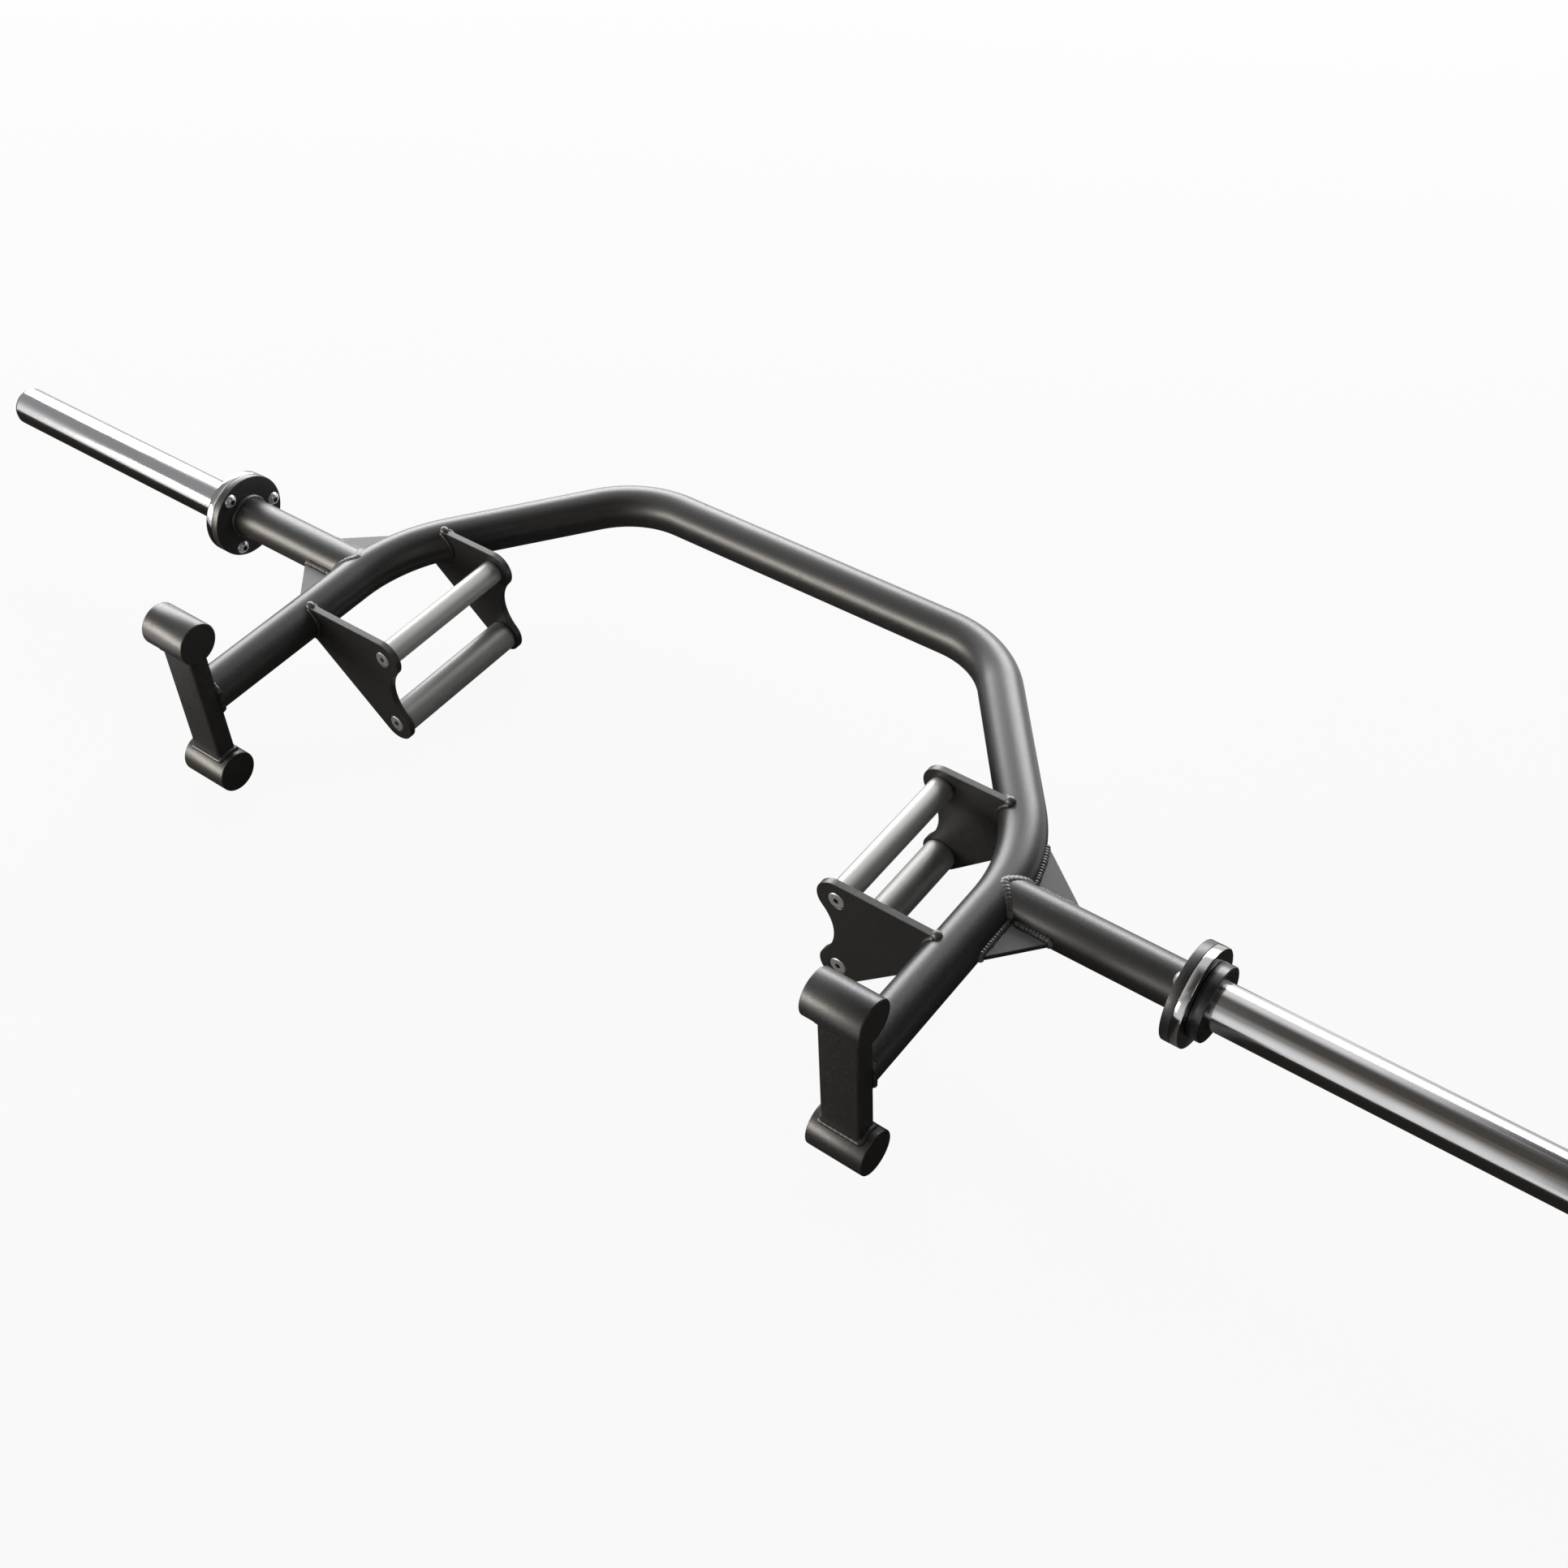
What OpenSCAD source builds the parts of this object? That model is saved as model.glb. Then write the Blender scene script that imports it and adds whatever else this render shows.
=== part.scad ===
// Open-sided walk-through trap bar with two handle heights and turning plate sleeves.
// It is drawn about the sleeve axis, X along the sleeves and Y towards the closed back,
// and each piece is then set down so that the bar stands on the plane Z = 0.

/* [Frame tube] */
// Outside diameter of the bent frame tube
tube_d = 50.8; // [50.2:0.1:60]
// Wall of the frame tube
tube_wall = 3.2; // [2:0.1:5]
// Middle of the bar to the centre of a side tube
side_x = 450; // [430:1:480]
// Sleeve axis to the corner where a side tube turns inwards
side_bend_y = 54; // [40:1:70]
// Middle of the bar to the corner where the back tube begins
back_bend_x = 253; // [230:1:280]
// Sleeve axis to the centre of the back tube
back_y = 300; // [285:1:330]
// Centreline radius of the bend after a side tube
side_bend_r = 200; // [160:1:230]
// Centreline radius of the bend before the back tube
back_bend_r = 125; // [100:1:150]

/* [Arms and gussets] */
// Outside diameter of an arm tube
arm_d = 50; // [44:0.1:50.1]
// Wall of an arm tube
arm_wall = 4; // [3:0.1:6]
// Middle of the bar to the inboard face of an arm flange
flange_x = 654; // [600:1:700]
// Diameter of an arm flange and of the spindle flange bolted to it
flange_d = 106; // [104:0.5:116]
// Thickness of an arm flange
arm_flange_t = 10; // [8:0.5:14]
// Thickness of a gusset
gusset_t = 6; // [4:0.5:10]
// Edge of a gusset along the arm, from the side tube
gusset_arm_leg = 45; // [30:1:70]
// Edge of a gusset along the frame tube, from the arm
gusset_tube_leg = 52; // [30:1:75]
// Height of a gusset's blunt tips
gusset_tip = 5; // [2:0.5:8]

/* [Flange screws] */
// Number of button-head screws in a flange
flange_screw_count = 3; // [3:1:6]
// Diameter of a flange screw
flange_screw_d = 10; // [8:0.5:12]
// Diameter of the circle that the flange screws stand on
flange_screw_circle = 84; // [80:0.5:86]
// Diameter of a button head
button_head_d = 17.5; // [16:0.5:20]
// Height of a button head
button_head_h = 5.5; // [5:0.1:7]
// Length of a flange screw inside the spindle flange
flange_screw_bite = 7; // [5:0.5:8]

/* [Sleeves] */
// Outside diameter of a sleeve, which weight plates slide onto
sleeve_d = 50; // [48:0.1:51]
// Length of a sleeve outside its collar ring
sleeve_len = 410; // [300:1:450]
// Wall of a sleeve
sleeve_wall = 6; // [5:0.1:8]
// Chamfer at the outer end of a sleeve
sleeve_chamfer = 2; // [1:0.1:3]
// Diameter of the collar ring that stops the weight plates
ring_d = 80; // [70:1:84]
// Width of the collar ring
ring_t = 13; // [8:0.5:20]
// Step in a sleeve's radius, down to the seat of its collar ring
ring_seat_step = 0.5; // [0.2:0.1:1]
// Thickness of the end cap outside the sleeve
cap_t = 3; // [2:0.5:5]
// Depth of the end cap inside the sleeve
cap_plug_len = 10; // [6:1:14]

/* [Spindles] */
// Diameter of the spindle that a sleeve turns on
spindle_d = 30; // [26:0.5:31]
// Thickness of the spindle flange
spindle_flange_t = 10; // [9:0.5:14]
// Length of the spindle inside the arm flange, which it centres
centring_len = 8; // [4:0.5:8]
// Length of a bush
bush_len = 32; // [20:1:50]
// Thickness of a thrust washer
washer_t = 2; // [1:0.5:4]
// Thickness of the retaining ring
clip_t = 1.5; // [1:0.1:2]
// Depth of the retaining ring's groove
clip_groove = 0.7; // [0.5:0.1:1]
// Spindle left outside the retaining ring's groove
spindle_tip = 4; // [2:0.5:6]
// Free length between the spindle's end and the end cap
cap_space = 5; // [2:0.5:10]

/* [Handles] */
// Middle of the bar to the centre of a grip
grip_x = 320; // [300:1:340]
// Distance from an upper grip down to a lower grip
grip_drop = 102; // [90:1:110]
// Length of a grip between its two plates
grip_len = 184; // [150:1:190]
// Diameter of an upper grip
upper_grip_d = 29; // [25:0.5:34]
// Diameter of a lower grip
lower_grip_d = 38; // [34:0.5:42]
// Wall of a lower grip, which is a tube
lower_grip_wall = 4; // [3:0.5:5]
// Length of the threaded plug in each end of a lower grip
plug_len = 25; // [20:1:40]
// Chamfer at the ends of a grip
grip_chamfer = 1; // [0.5:0.1:2]
// Thickness of a handle plate
plate_t = 8; // [7:0.5:12]
// Radius of a plate's corner round the upper grip
upper_lobe_r = 24; // [20:0.5:25]
// Radius of a plate's corner round the lower grip
lower_lobe_r = 23; // [21:0.5:26]
// Radius of the hollow in a plate's edge between the grips
scallop_r = 53; // [45:1:70]
// Slope of a plate's lower edge
plate_slope = 43; // [40:1:46]
// Distance by which a plate's top edge stops short of the tube's centre
plate_top_stop = 14; // [8:0.5:18]
// Reach of a plate's lower edge past the tube's centre
plate_hook = 15; // [8:0.5:18]

/* [Grip screws] */
// Diameter of a countersunk grip screw
grip_screw_d = 10; // [8:0.5:12]
// Diameter of a countersunk head
grip_head_d = 20; // [18:0.5:22]
// Length of a grip screw
grip_screw_len = 30; // [26:1:34]

/* [Feet] */
// Sleeve axis to the centre of a foot post
foot_y = 267; // [240:1:300]
// Height from the frame tube's centre to a foot tube's centre
foot_rise = 100; // [90:1:120]
// Diameter of a foot tube
foot_d = 50; // [44:0.5:56]
// Length of a foot tube
foot_len = 66; // [56:1:90]
// Wall of a foot tube
foot_wall = 3; // [2:0.5:5]
// Thickness of the disc that closes a foot tube
foot_disc_t = 3; // [2:0.5:6]
// Width of a foot post
post_w = 46; // [40:0.5:50]
// Depth of a foot post
post_d = 25; // [20:0.5:30]
// Wall of a foot post
post_wall = 2.5; // [2:0.1:4]
// Outside corner radius of a foot post
post_corner = 3.5; // [2.5:0.1:5]

/* [Fits] */
// Radial gap between a spindle and a bush
running_gap = 0.05; // [0.02:0.01:0.1]
// Free movement of a sleeve along its spindle, at each end
end_float = 0.3; // [0.2:0.05:0.5]
// Radial gap round a screw in its threaded hole
thread_gap = 0.1; // [0.05:0.01:0.2]
// Radial gap round a screw in a plain hole
bolt_gap = 0.5; // [0.2:0.1:1]
// Radial gap round the spindle in the arm flange
centring_gap = 0.05; // [0.02:0.01:0.1]
// Radial gap between a washer and the sleeve round it
washer_gap = 0.4; // [0.3:0.1:1]
// Size across the flats of every screw socket
socket_af = 6; // [4:0.5:7]
// Depth of every screw socket
socket_depth = 3.6; // [2:0.1:4]
// Chamfer on the rims of flanges and collar rings
rim_chamfer = 1; // [0.5:0.1:2]

/* [Hidden] */
$fn = 60;
BLACK = "#2b2a29";
CHROME = "#d7d9dc";
ZINC = "#a9abad";
BRONZE = "#a97c43";
PLASTIC = "#18181a";

// How far a cut reaches past a face
cut = 1;
// Swelling of the frame tube's radius in a bend, and the reach of each straight run into it
bend_swell = 0.05;
bend_lap = 1;
// Angle by which a cope carries the side bend on
cope_turn = 12;

tube_r = tube_d / 2;
arm_r = arm_d / 2;
foot_r = foot_d / 2;

// The corner angles and tangent lengths of the frame tube
side_turn = atan2(side_x - back_bend_x, back_y - side_bend_y);
back_turn = 90 - side_turn;
side_tangent = side_bend_r * tan(side_turn / 2);
back_tangent = back_bend_r * tan(back_turn / 2);
slant_corner_len = norm([side_x - back_bend_x, back_y - side_bend_y]);
slant_run = slant_corner_len - side_tangent - back_tangent;
slant_start = [side_x - side_tangent * sin(side_turn), side_bend_y + side_tangent * cos(side_turn), 0];
tube_end_y = -(foot_y - post_d / 2);
side_bend_start = side_bend_y - side_tangent;
side_bend_end = side_bend_start + side_bend_r * sin(side_turn);
side_bend_centre_x = side_x - side_bend_r;
back_run_end = back_bend_x - back_tangent;

// Stations along the sleeve axis, from the arm outwards
seam_x = flange_x + arm_flange_t;
face_x = seam_x + spindle_flange_t;
sleeve_start = face_x + end_float;
stop_x = sleeve_start + ring_t;
bar_end = stop_x + sleeve_len;
sleeve_end = bar_end - cap_t;
spindle_end = sleeve_end - cap_plug_len - cap_space;
clip_x = spindle_end - spindle_tip - clip_t;
outer_washer_x = clip_x - washer_t;
outer_bush_x = outer_washer_x - end_float - bush_len;
inner_bush_x = face_x + washer_t + end_float;
sleeve_bore = sleeve_d - 2 * sleeve_wall;
bush_bore = spindle_d + 2 * running_gap;
ring_bore = sleeve_d - 2 * ring_seat_step;
washer_d = sleeve_bore - 2 * washer_gap;
groove_d = spindle_d - 2 * clip_groove;
clip_gap_w = spindle_d / 5;

// The handle plates
plate_in_y = grip_len / 2;
plate_out_y = plate_in_y + plate_t;
grip_screw_head_h = (grip_head_d - grip_screw_d) / 2;
tapped_depth = grip_screw_len - plate_t + grip_screw_d / 2;
plug_d = lower_grip_d - 2 * lower_grip_wall;

// The centre of the hollow in a handle plate's edge, which cuts a hair into both rounded corners
scallop_over = 0.05;
scallop_z = -(grip_drop ^ 2 + (upper_lobe_r + scallop_r) ^ 2 - (lower_lobe_r + scallop_r) ^ 2) / (2 * grip_drop);
scallop_x = grip_x - sqrt((upper_lobe_r + scallop_r) ^ 2 - scallop_z ^ 2);

// The place of the sleeve axis over the floor
axis_z = max(foot_rise + foot_r, grip_drop + lower_lobe_r);
mid_y = (back_y + tube_r - foot_y - foot_r) / 2;

// Place of the frame tube's centre line at a distance from the sleeve axis
function frame_x(y) =
    y <= side_bend_start ? side_x :
    y <= side_bend_end ? side_bend_centre_x + sqrt(side_bend_r ^ 2 - (y - side_bend_start) ^ 2) :
    side_x - (y - side_bend_y) * tan(side_turn);

// Place of the frame tube's outer side, on the straight and round the side bend
function frame_side_x(y) =
    y <= side_bend_start ? side_x + tube_r :
    side_bend_centre_x + sqrt((side_bend_r + tube_r) ^ 2 - (y - side_bend_start) ^ 2);

// Sets a piece down on the floor
module on_floor() {
    translate([0, -mid_y, axis_z])
        children();
}

module right() {
    on_floor()
        children();
}

module left() {
    on_floor()
        mirror([1, 0, 0])
            children();
}

module ring_outline(d, bore) {
    difference() {
        circle(d = d);
        if (bore > 0)
            circle(d = bore);
    }
}

// Round bar or tube along +X, +Y and +Z; a bore of zero leaves it solid
module along_z(len, d, bore = 0) {
    linear_extrude(len)
        ring_outline(d, bore);
}

module along_y(len, d, bore = 0) {
    rotate([-90, 0, 0])
        along_z(len, d, bore);
}

module along_x(len, d, bore = 0) {
    rotate([0, 90, 0])
        along_z(len, d, bore);
}

// Bar bent to the left of +Y, about the origin
module bend(r, angle, d) {
    rotate_extrude(angle = angle)
        translate([r, 0])
            circle(d = d);
}

// Round disc along +X with a chamfer on both rims
module rimmed_disc(t, d, c) {
    rotate([0, 90, 0])
        rotate_extrude()
            polygon([
                [0, 0], [d / 2 - c, 0], [d / 2, c],
                [d / 2, t - c], [d / 2 - c, t], [0, t]
            ]);
}

module socket() {
    cylinder(h = 2 * socket_depth, d = socket_af / cos(30), center = true, $fn = 6);
}

// Solid bar along one side of the frame tube; over is its reach past the foot end
module frame_side(d, over = 0) {
    bend_d = d + 2 * bend_swell;
    translate([side_x, tube_end_y - over, 0])
        along_y(side_bend_start - tube_end_y + over + bend_lap, d);
    translate([side_bend_centre_x, side_bend_start, 0])
        bend(side_bend_r, side_turn, bend_d);
    translate(slant_start)
        rotate([0, 0, side_turn])
            translate([0, -bend_lap, 0])
                along_y(slant_run + 2 * bend_lap, d);
    translate([back_run_end, back_y - back_bend_r, 0])
        rotate([0, 0, side_turn])
            bend(back_bend_r, back_turn, bend_d);
}

module frame_bar(d, over = 0) {
    frame_side(d, over);
    mirror([1, 0, 0])
        frame_side(d, over);
    translate([-back_run_end - bend_lap, back_y, 0])
        along_x(2 * (back_run_end + bend_lap), d);
}

// The bent tube, open at its two foot ends
module frame_tube() {
    color(BLACK)
        difference() {
            frame_bar(tube_d);
            frame_bar(tube_d - 2 * tube_wall, cut);
        }
}

// What a piece welded to a side tube is cut back by: the bend is carried on behind
// the rear plates, where it clears the slanted run by a hair
module side_cope() {
    translate([side_x, tube_end_y, 0])
        along_y(side_bend_start - tube_end_y + bend_lap, tube_d);
    translate([side_bend_centre_x, side_bend_start, 0])
        bend(side_bend_r, side_turn + cope_turn, tube_d + 2 * bend_swell);
}

module arm_bar(bore = 0) {
    translate([side_x, 0, 0])
        along_x(flange_x - side_x, arm_d, bore);
}

// Coped at its inner end to the frame tube
module arm_tube() {
    color(BLACK)
        difference() {
            arm_bar(arm_d - 2 * arm_wall);
            side_cope();
        }
}

module at_flange_screws() {
    for (i = [0 : flange_screw_count - 1])
        rotate([i * 360 / flange_screw_count, 0, 0])
            translate([0, flange_screw_circle / 2, 0])
                children();
}

module arm_flange() {
    color(BLACK)
        translate([flange_x, 0, 0])
            difference() {
                rimmed_disc(arm_flange_t, flange_d, rim_chamfer);
                translate([-cut, 0, 0])
                    along_x(arm_flange_t + 2 * cut, spindle_d + 2 * centring_gap);
                at_flange_screws()
                    translate([-cut, 0, 0])
                        along_x(arm_flange_t + 2 * cut, flange_screw_d + 2 * bolt_gap);
            }
}

// Triangle in the corner of an arm and the frame tube; dir is -1 in front, 1 behind
module gusset(dir) {
    tip_x = side_x + tube_r + gusset_arm_leg;
    tip_y = arm_r + gusset_tube_leg;
    root_x = frame_side_x(dir * tip_y);
    difference() {
        translate([0, 0, -gusset_t / 2])
            linear_extrude(gusset_t)
                polygon([
                    [side_x, 0],
                    [tip_x, 0],
                    [tip_x, dir * (arm_r + gusset_tip)],
                    [root_x + gusset_tip, dir * tip_y],
                    [root_x - tube_r / 2, dir * tip_y]
                ]);
        side_cope();
        arm_bar();
    }
}

module gussets() {
    color(BLACK)
        for (dir = [-1, 1])
            gusset(dir);
}

// Outline of a handle plate in X and Z, for a frame tube whose centre is at cx
module plate_outline(cx) {
    upper = [grip_x, 0];
    lower = [grip_x, -grip_drop];
    scallop = [scallop_x, scallop_z];
    heel = lower + lower_lobe_r * [sin(plate_slope), -cos(plate_slope)];
    hook_x = cx + plate_hook;
    difference() {
        union() {
            translate(upper)
                circle(r = upper_lobe_r);
            translate(lower)
                circle(r = lower_lobe_r);
            polygon([
                upper, scallop, lower, heel,
                [hook_x, heel.y + (hook_x - heel.x) * tan(plate_slope)],
                [cx, 0],
                [cx - plate_top_stop, 0],
                [cx - plate_top_stop, upper_lobe_r],
                [grip_x, upper_lobe_r]
            ]);
        }
        translate(scallop)
            circle(r = scallop_r + scallop_over);
    }
}

// Handle plate, coped to the frame tube; dir is -1 in front, 1 behind
module handle_plate(dir) {
    mid = plate_in_y + plate_t / 2;
    color(BLACK)
        difference() {
            translate([0, dir * mid + plate_t / 2, 0])
                rotate([90, 0, 0])
                    linear_extrude(plate_t)
                        plate_outline(frame_x(dir * mid));
            side_cope();
            for (z = [0, -grip_drop])
                translate([grip_x, 0, z])
                    mirror([0, dir < 0 ? 1 : 0, 0])
                        grip_screw_hole();
        }
}

// Plain hole and countersink for a grip screw in the plate on the +Y side
module grip_screw_hole() {
    translate([0, plate_in_y - cut, 0])
        along_y(plate_t + 2 * cut, grip_screw_d + 2 * bolt_gap);
    translate([0, plate_out_y, 0])
        rotate([90, 0, 0])
            cylinder(h = grip_screw_head_h, d1 = grip_head_d, d2 = grip_screw_d);
}

// Round bar along Y, between the plates, with a threaded hole in each end
module grip_bar(d, hole_depth) {
    difference() {
        translate([grip_x, -plate_in_y, 0])
            rotate([-90, 0, 0])
                rotate_extrude()
                    polygon([
                        [0, 0], [d / 2 - grip_chamfer, 0], [d / 2, grip_chamfer],
                        [d / 2, grip_len - grip_chamfer], [d / 2 - grip_chamfer, grip_len], [0, grip_len]
                    ]);
        for (dir = [-1, 1])
            translate([grip_x, dir * (plate_in_y + cut), 0])
                rotate([dir * 90, 0, 0])
                    cylinder(h = hole_depth + cut, d = grip_screw_d + 2 * thread_gap);
    }
}

module upper_grip() {
    color(ZINC)
        grip_bar(upper_grip_d, tapped_depth);
}

module lower_grip() {
    color(ZINC)
        translate([0, 0, -grip_drop])
            difference() {
                grip_bar(lower_grip_d, tapped_depth);
                translate([grip_x, -plate_in_y - cut, 0])
                    along_y(grip_len + 2 * cut, plug_d);
            }
}

module lower_grip_plugs() {
    color(ZINC)
        for (dir = [-1, 1])
            translate([grip_x, dir * (plate_in_y - plug_len / 2) - plug_len / 2, -grip_drop])
                along_y(plug_len, plug_d, grip_screw_d + 2 * thread_gap);
}

// Countersunk screw with its head flush in the plate on the +Y side
module grip_screw() {
    translate([0, plate_out_y, 0])
        rotate([90, 0, 0])
            difference() {
                union() {
                    cylinder(h = grip_screw_head_h, d1 = grip_head_d, d2 = grip_screw_d);
                    cylinder(h = grip_screw_len, d = grip_screw_d);
                }
                socket();
            }
}

module grip_screws() {
    color(CHROME)
        for (z = [0, -grip_drop], dir = [0, 1])
            translate([grip_x, 0, z])
                mirror([0, dir, 0])
                    grip_screw();
}

module post_outline(inset) {
    w = post_w - 2 * inset;
    d = post_d - 2 * inset;
    r = post_corner - inset;
    square([w - 2 * r, d], center = true);
    square([w, d - 2 * r], center = true);
    for (sx = [-1, 1], sy = [-1, 1])
        translate([sx * (w / 2 - r), sy * (d / 2 - r)])
            circle(r = r);
}

module at_foot(level) {
    translate([side_x, -foot_y, level * foot_rise])
        children();
}

// Square-section post, coped top and bottom to the foot tubes
module foot_post() {
    color(BLACK)
        difference() {
            translate([side_x, -foot_y, -foot_rise])
                linear_extrude(2 * foot_rise)
                    difference() {
                        post_outline(0);
                        post_outline(post_wall);
                    }
            for (level = [-1, 1])
                at_foot(level)
                    translate([-foot_len / 2, 0, 0])
                        along_x(foot_len, foot_d);
        }
}

// Foot tube; level is -1 below, 1 above
module foot_tube(level) {
    color(BLACK)
        at_foot(level)
            translate([-foot_len / 2, 0, 0])
                along_x(foot_len, foot_d, foot_d - 2 * foot_wall);
}

module foot_end_discs() {
    color(BLACK)
        for (level = [-1, 1], end = [-1, 1])
            at_foot(level)
                translate([end * (foot_len - foot_disc_t) / 2 - foot_disc_t / 2, 0, 0])
                    along_x(foot_disc_t, foot_d - 2 * foot_wall);
}

// Turned shaft that reaches into the arm flange, with a groove for the retaining ring
module spindle() {
    color(CHROME)
        difference() {
            translate([seam_x - centring_len, 0, 0])
                along_x(spindle_end - seam_x + centring_len, spindle_d);
            translate([clip_x, 0, 0])
                along_x(clip_t, 2 * spindle_d, groove_d);
        }
}

// Disc fixed round the spindle, with threaded holes for the flange screws
module spindle_flange() {
    color(CHROME)
        translate([seam_x, 0, 0])
            difference() {
                rimmed_disc(spindle_flange_t, flange_d, rim_chamfer);
                translate([-cut, 0, 0])
                    along_x(spindle_flange_t + 2 * cut, spindle_d);
                at_flange_screws()
                    translate([-cut, 0, 0])
                        along_x(flange_screw_bite + 2 * cut, flange_screw_d + 2 * thread_gap);
            }
}

// Button-head screw along +X, with its seat at the origin
module button_screw() {
    dome_r = (button_head_h ^ 2 + (button_head_d / 2) ^ 2) / (2 * button_head_h);
    difference() {
        union() {
            along_x(arm_flange_t + flange_screw_bite, flange_screw_d);
            intersection() {
                translate([dome_r - button_head_h, 0, 0])
                    sphere(r = dome_r);
                translate([-button_head_h, 0, 0])
                    along_x(button_head_h, 2 * button_head_d);
            }
        }
        translate([-button_head_h, 0, 0])
            rotate([0, 90, 0])
                socket();
    }
}

module flange_screws() {
    color(CHROME)
        translate([flange_x, 0, 0])
            at_flange_screws()
                button_screw();
}

module thrust_washer(x) {
    color(BRONZE)
        translate([x, 0, 0])
            along_x(washer_t, washer_d, bush_bore);
}

// Open ring in the spindle's groove
module retaining_ring() {
    color(ZINC)
        translate([clip_x, 0, 0])
            difference() {
                along_x(clip_t, washer_d, groove_d);
                translate([-cut, -clip_gap_w / 2, 0])
                    cube([clip_t + 2 * cut, clip_gap_w, washer_d]);
            }
}

// Tube with a turned-down seat for the collar ring
module sleeve() {
    outer_r = sleeve_d / 2;
    bore_r = sleeve_bore / 2;
    color(CHROME)
        rotate([0, 90, 0])
            rotate_extrude()
                polygon([
                    [bore_r, sleeve_start], [ring_bore / 2, sleeve_start],
                    [ring_bore / 2, stop_x], [outer_r, stop_x],
                    [outer_r, sleeve_end - sleeve_chamfer],
                    [outer_r - sleeve_chamfer, sleeve_end],
                    [bore_r, sleeve_end]
                ]);
}

// Ring pressed onto the sleeve, up against the step of its seat
module collar_ring() {
    color(BLACK)
        translate([sleeve_start, 0, 0])
            difference() {
                rimmed_disc(ring_t, ring_d, rim_chamfer);
                translate([-cut, 0, 0])
                    along_x(ring_t + 2 * cut, ring_bore);
            }
}

module bush(x) {
    color(BRONZE)
        translate([x, 0, 0])
            along_x(bush_len, sleeve_bore, bush_bore);
}

module end_cap() {
    color(PLASTIC) {
        translate([sleeve_end, 0, 0])
            along_x(cap_t, sleeve_d - 2 * sleeve_chamfer);
        translate([sleeve_end - cap_plug_len, 0, 0])
            along_x(cap_plug_len, sleeve_bore);
    }
}

on_floor() frame_tube();
left() arm_tube();  // left_arm_tube
right() arm_tube();  // right_arm_tube
left() arm_flange();  // left_arm_flange
right() arm_flange();  // right_arm_flange
left() gussets();  // left_gussets
right() gussets();  // right_gussets
left() handle_plate(-1);  // left_front_handle_plate
right() handle_plate(-1);  // right_front_handle_plate
left() handle_plate(1);  // left_rear_handle_plate
right() handle_plate(1);  // right_rear_handle_plate
left() upper_grip();  // left_upper_grip
right() upper_grip();  // right_upper_grip
left() lower_grip();  // left_lower_grip
right() lower_grip();  // right_lower_grip
left() lower_grip_plugs();  // left_lower_grip_plugs
right() lower_grip_plugs();  // right_lower_grip_plugs
left() grip_screws();  // left_grip_screws
right() grip_screws();  // right_grip_screws
left() foot_post();  // left_foot_post
right() foot_post();  // right_foot_post
left() foot_tube(1);  // left_upper_foot_tube
right() foot_tube(1);  // right_upper_foot_tube
left() foot_tube(-1);  // left_lower_foot_tube
right() foot_tube(-1);  // right_lower_foot_tube
left() foot_end_discs();  // left_foot_end_discs
right() foot_end_discs();  // right_foot_end_discs
left() spindle();  // left_spindle
right() spindle();  // right_spindle
left() spindle_flange();  // left_spindle_flange
right() spindle_flange();  // right_spindle_flange
left() flange_screws();  // left_flange_screws
right() flange_screws();  // right_flange_screws
left() thrust_washer(face_x);  // left_inner_thrust_washer
right() thrust_washer(face_x);  // right_inner_thrust_washer
left() thrust_washer(outer_washer_x);  // left_outer_thrust_washer
right() thrust_washer(outer_washer_x);  // right_outer_thrust_washer
left() retaining_ring();  // left_retaining_ring
right() retaining_ring();  // right_retaining_ring
left() sleeve();  // left_sleeve
right() sleeve();  // right_sleeve
left() collar_ring();  // left_collar_ring
right() collar_ring();  // right_collar_ring
left() bush(inner_bush_x);  // left_inner_bush
right() bush(inner_bush_x);  // right_inner_bush
left() bush(outer_bush_x);  // left_outer_bush
right() bush(outer_bush_x);  // right_outer_bush
left() end_cap();  // left_end_cap
right() end_cap();  // right_end_cap
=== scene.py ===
from math import atan2, ceil, cos, hypot, pi, radians, sin, sqrt, tan

import bmesh
import bpy
from bmesh.types import BMEdge, BMFace, BMVert
from bpy.props import FloatProperty, FloatVectorProperty, IntProperty, PointerProperty
from bpy.types import Operator, Panel, PropertyGroup
from mathutils import Matrix, Quaternion, Vector


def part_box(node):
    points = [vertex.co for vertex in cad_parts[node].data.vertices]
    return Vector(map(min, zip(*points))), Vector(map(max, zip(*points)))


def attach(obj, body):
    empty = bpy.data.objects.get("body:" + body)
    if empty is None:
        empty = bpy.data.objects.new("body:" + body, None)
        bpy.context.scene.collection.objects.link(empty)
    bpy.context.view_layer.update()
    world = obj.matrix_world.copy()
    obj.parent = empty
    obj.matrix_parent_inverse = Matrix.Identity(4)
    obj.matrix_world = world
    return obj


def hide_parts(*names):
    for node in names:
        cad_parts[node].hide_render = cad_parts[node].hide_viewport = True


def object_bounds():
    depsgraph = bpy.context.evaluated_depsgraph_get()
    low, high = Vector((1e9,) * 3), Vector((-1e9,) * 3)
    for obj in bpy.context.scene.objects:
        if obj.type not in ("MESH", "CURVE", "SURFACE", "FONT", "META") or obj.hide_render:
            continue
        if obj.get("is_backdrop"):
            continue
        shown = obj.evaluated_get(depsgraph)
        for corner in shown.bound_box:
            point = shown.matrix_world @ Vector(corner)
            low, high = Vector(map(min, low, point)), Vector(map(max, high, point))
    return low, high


bl_info = {
    "name": "Trap Bar Builder",
    "version": (1, 0, 0),
    "blender": (4, 5, 0),
    "location": "3D View > Sidebar > Trap Bar",
    "description": "Builds an open-sided trap bar piece by piece, with its floor and lights",
    "category": "Add Mesh",
}

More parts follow.
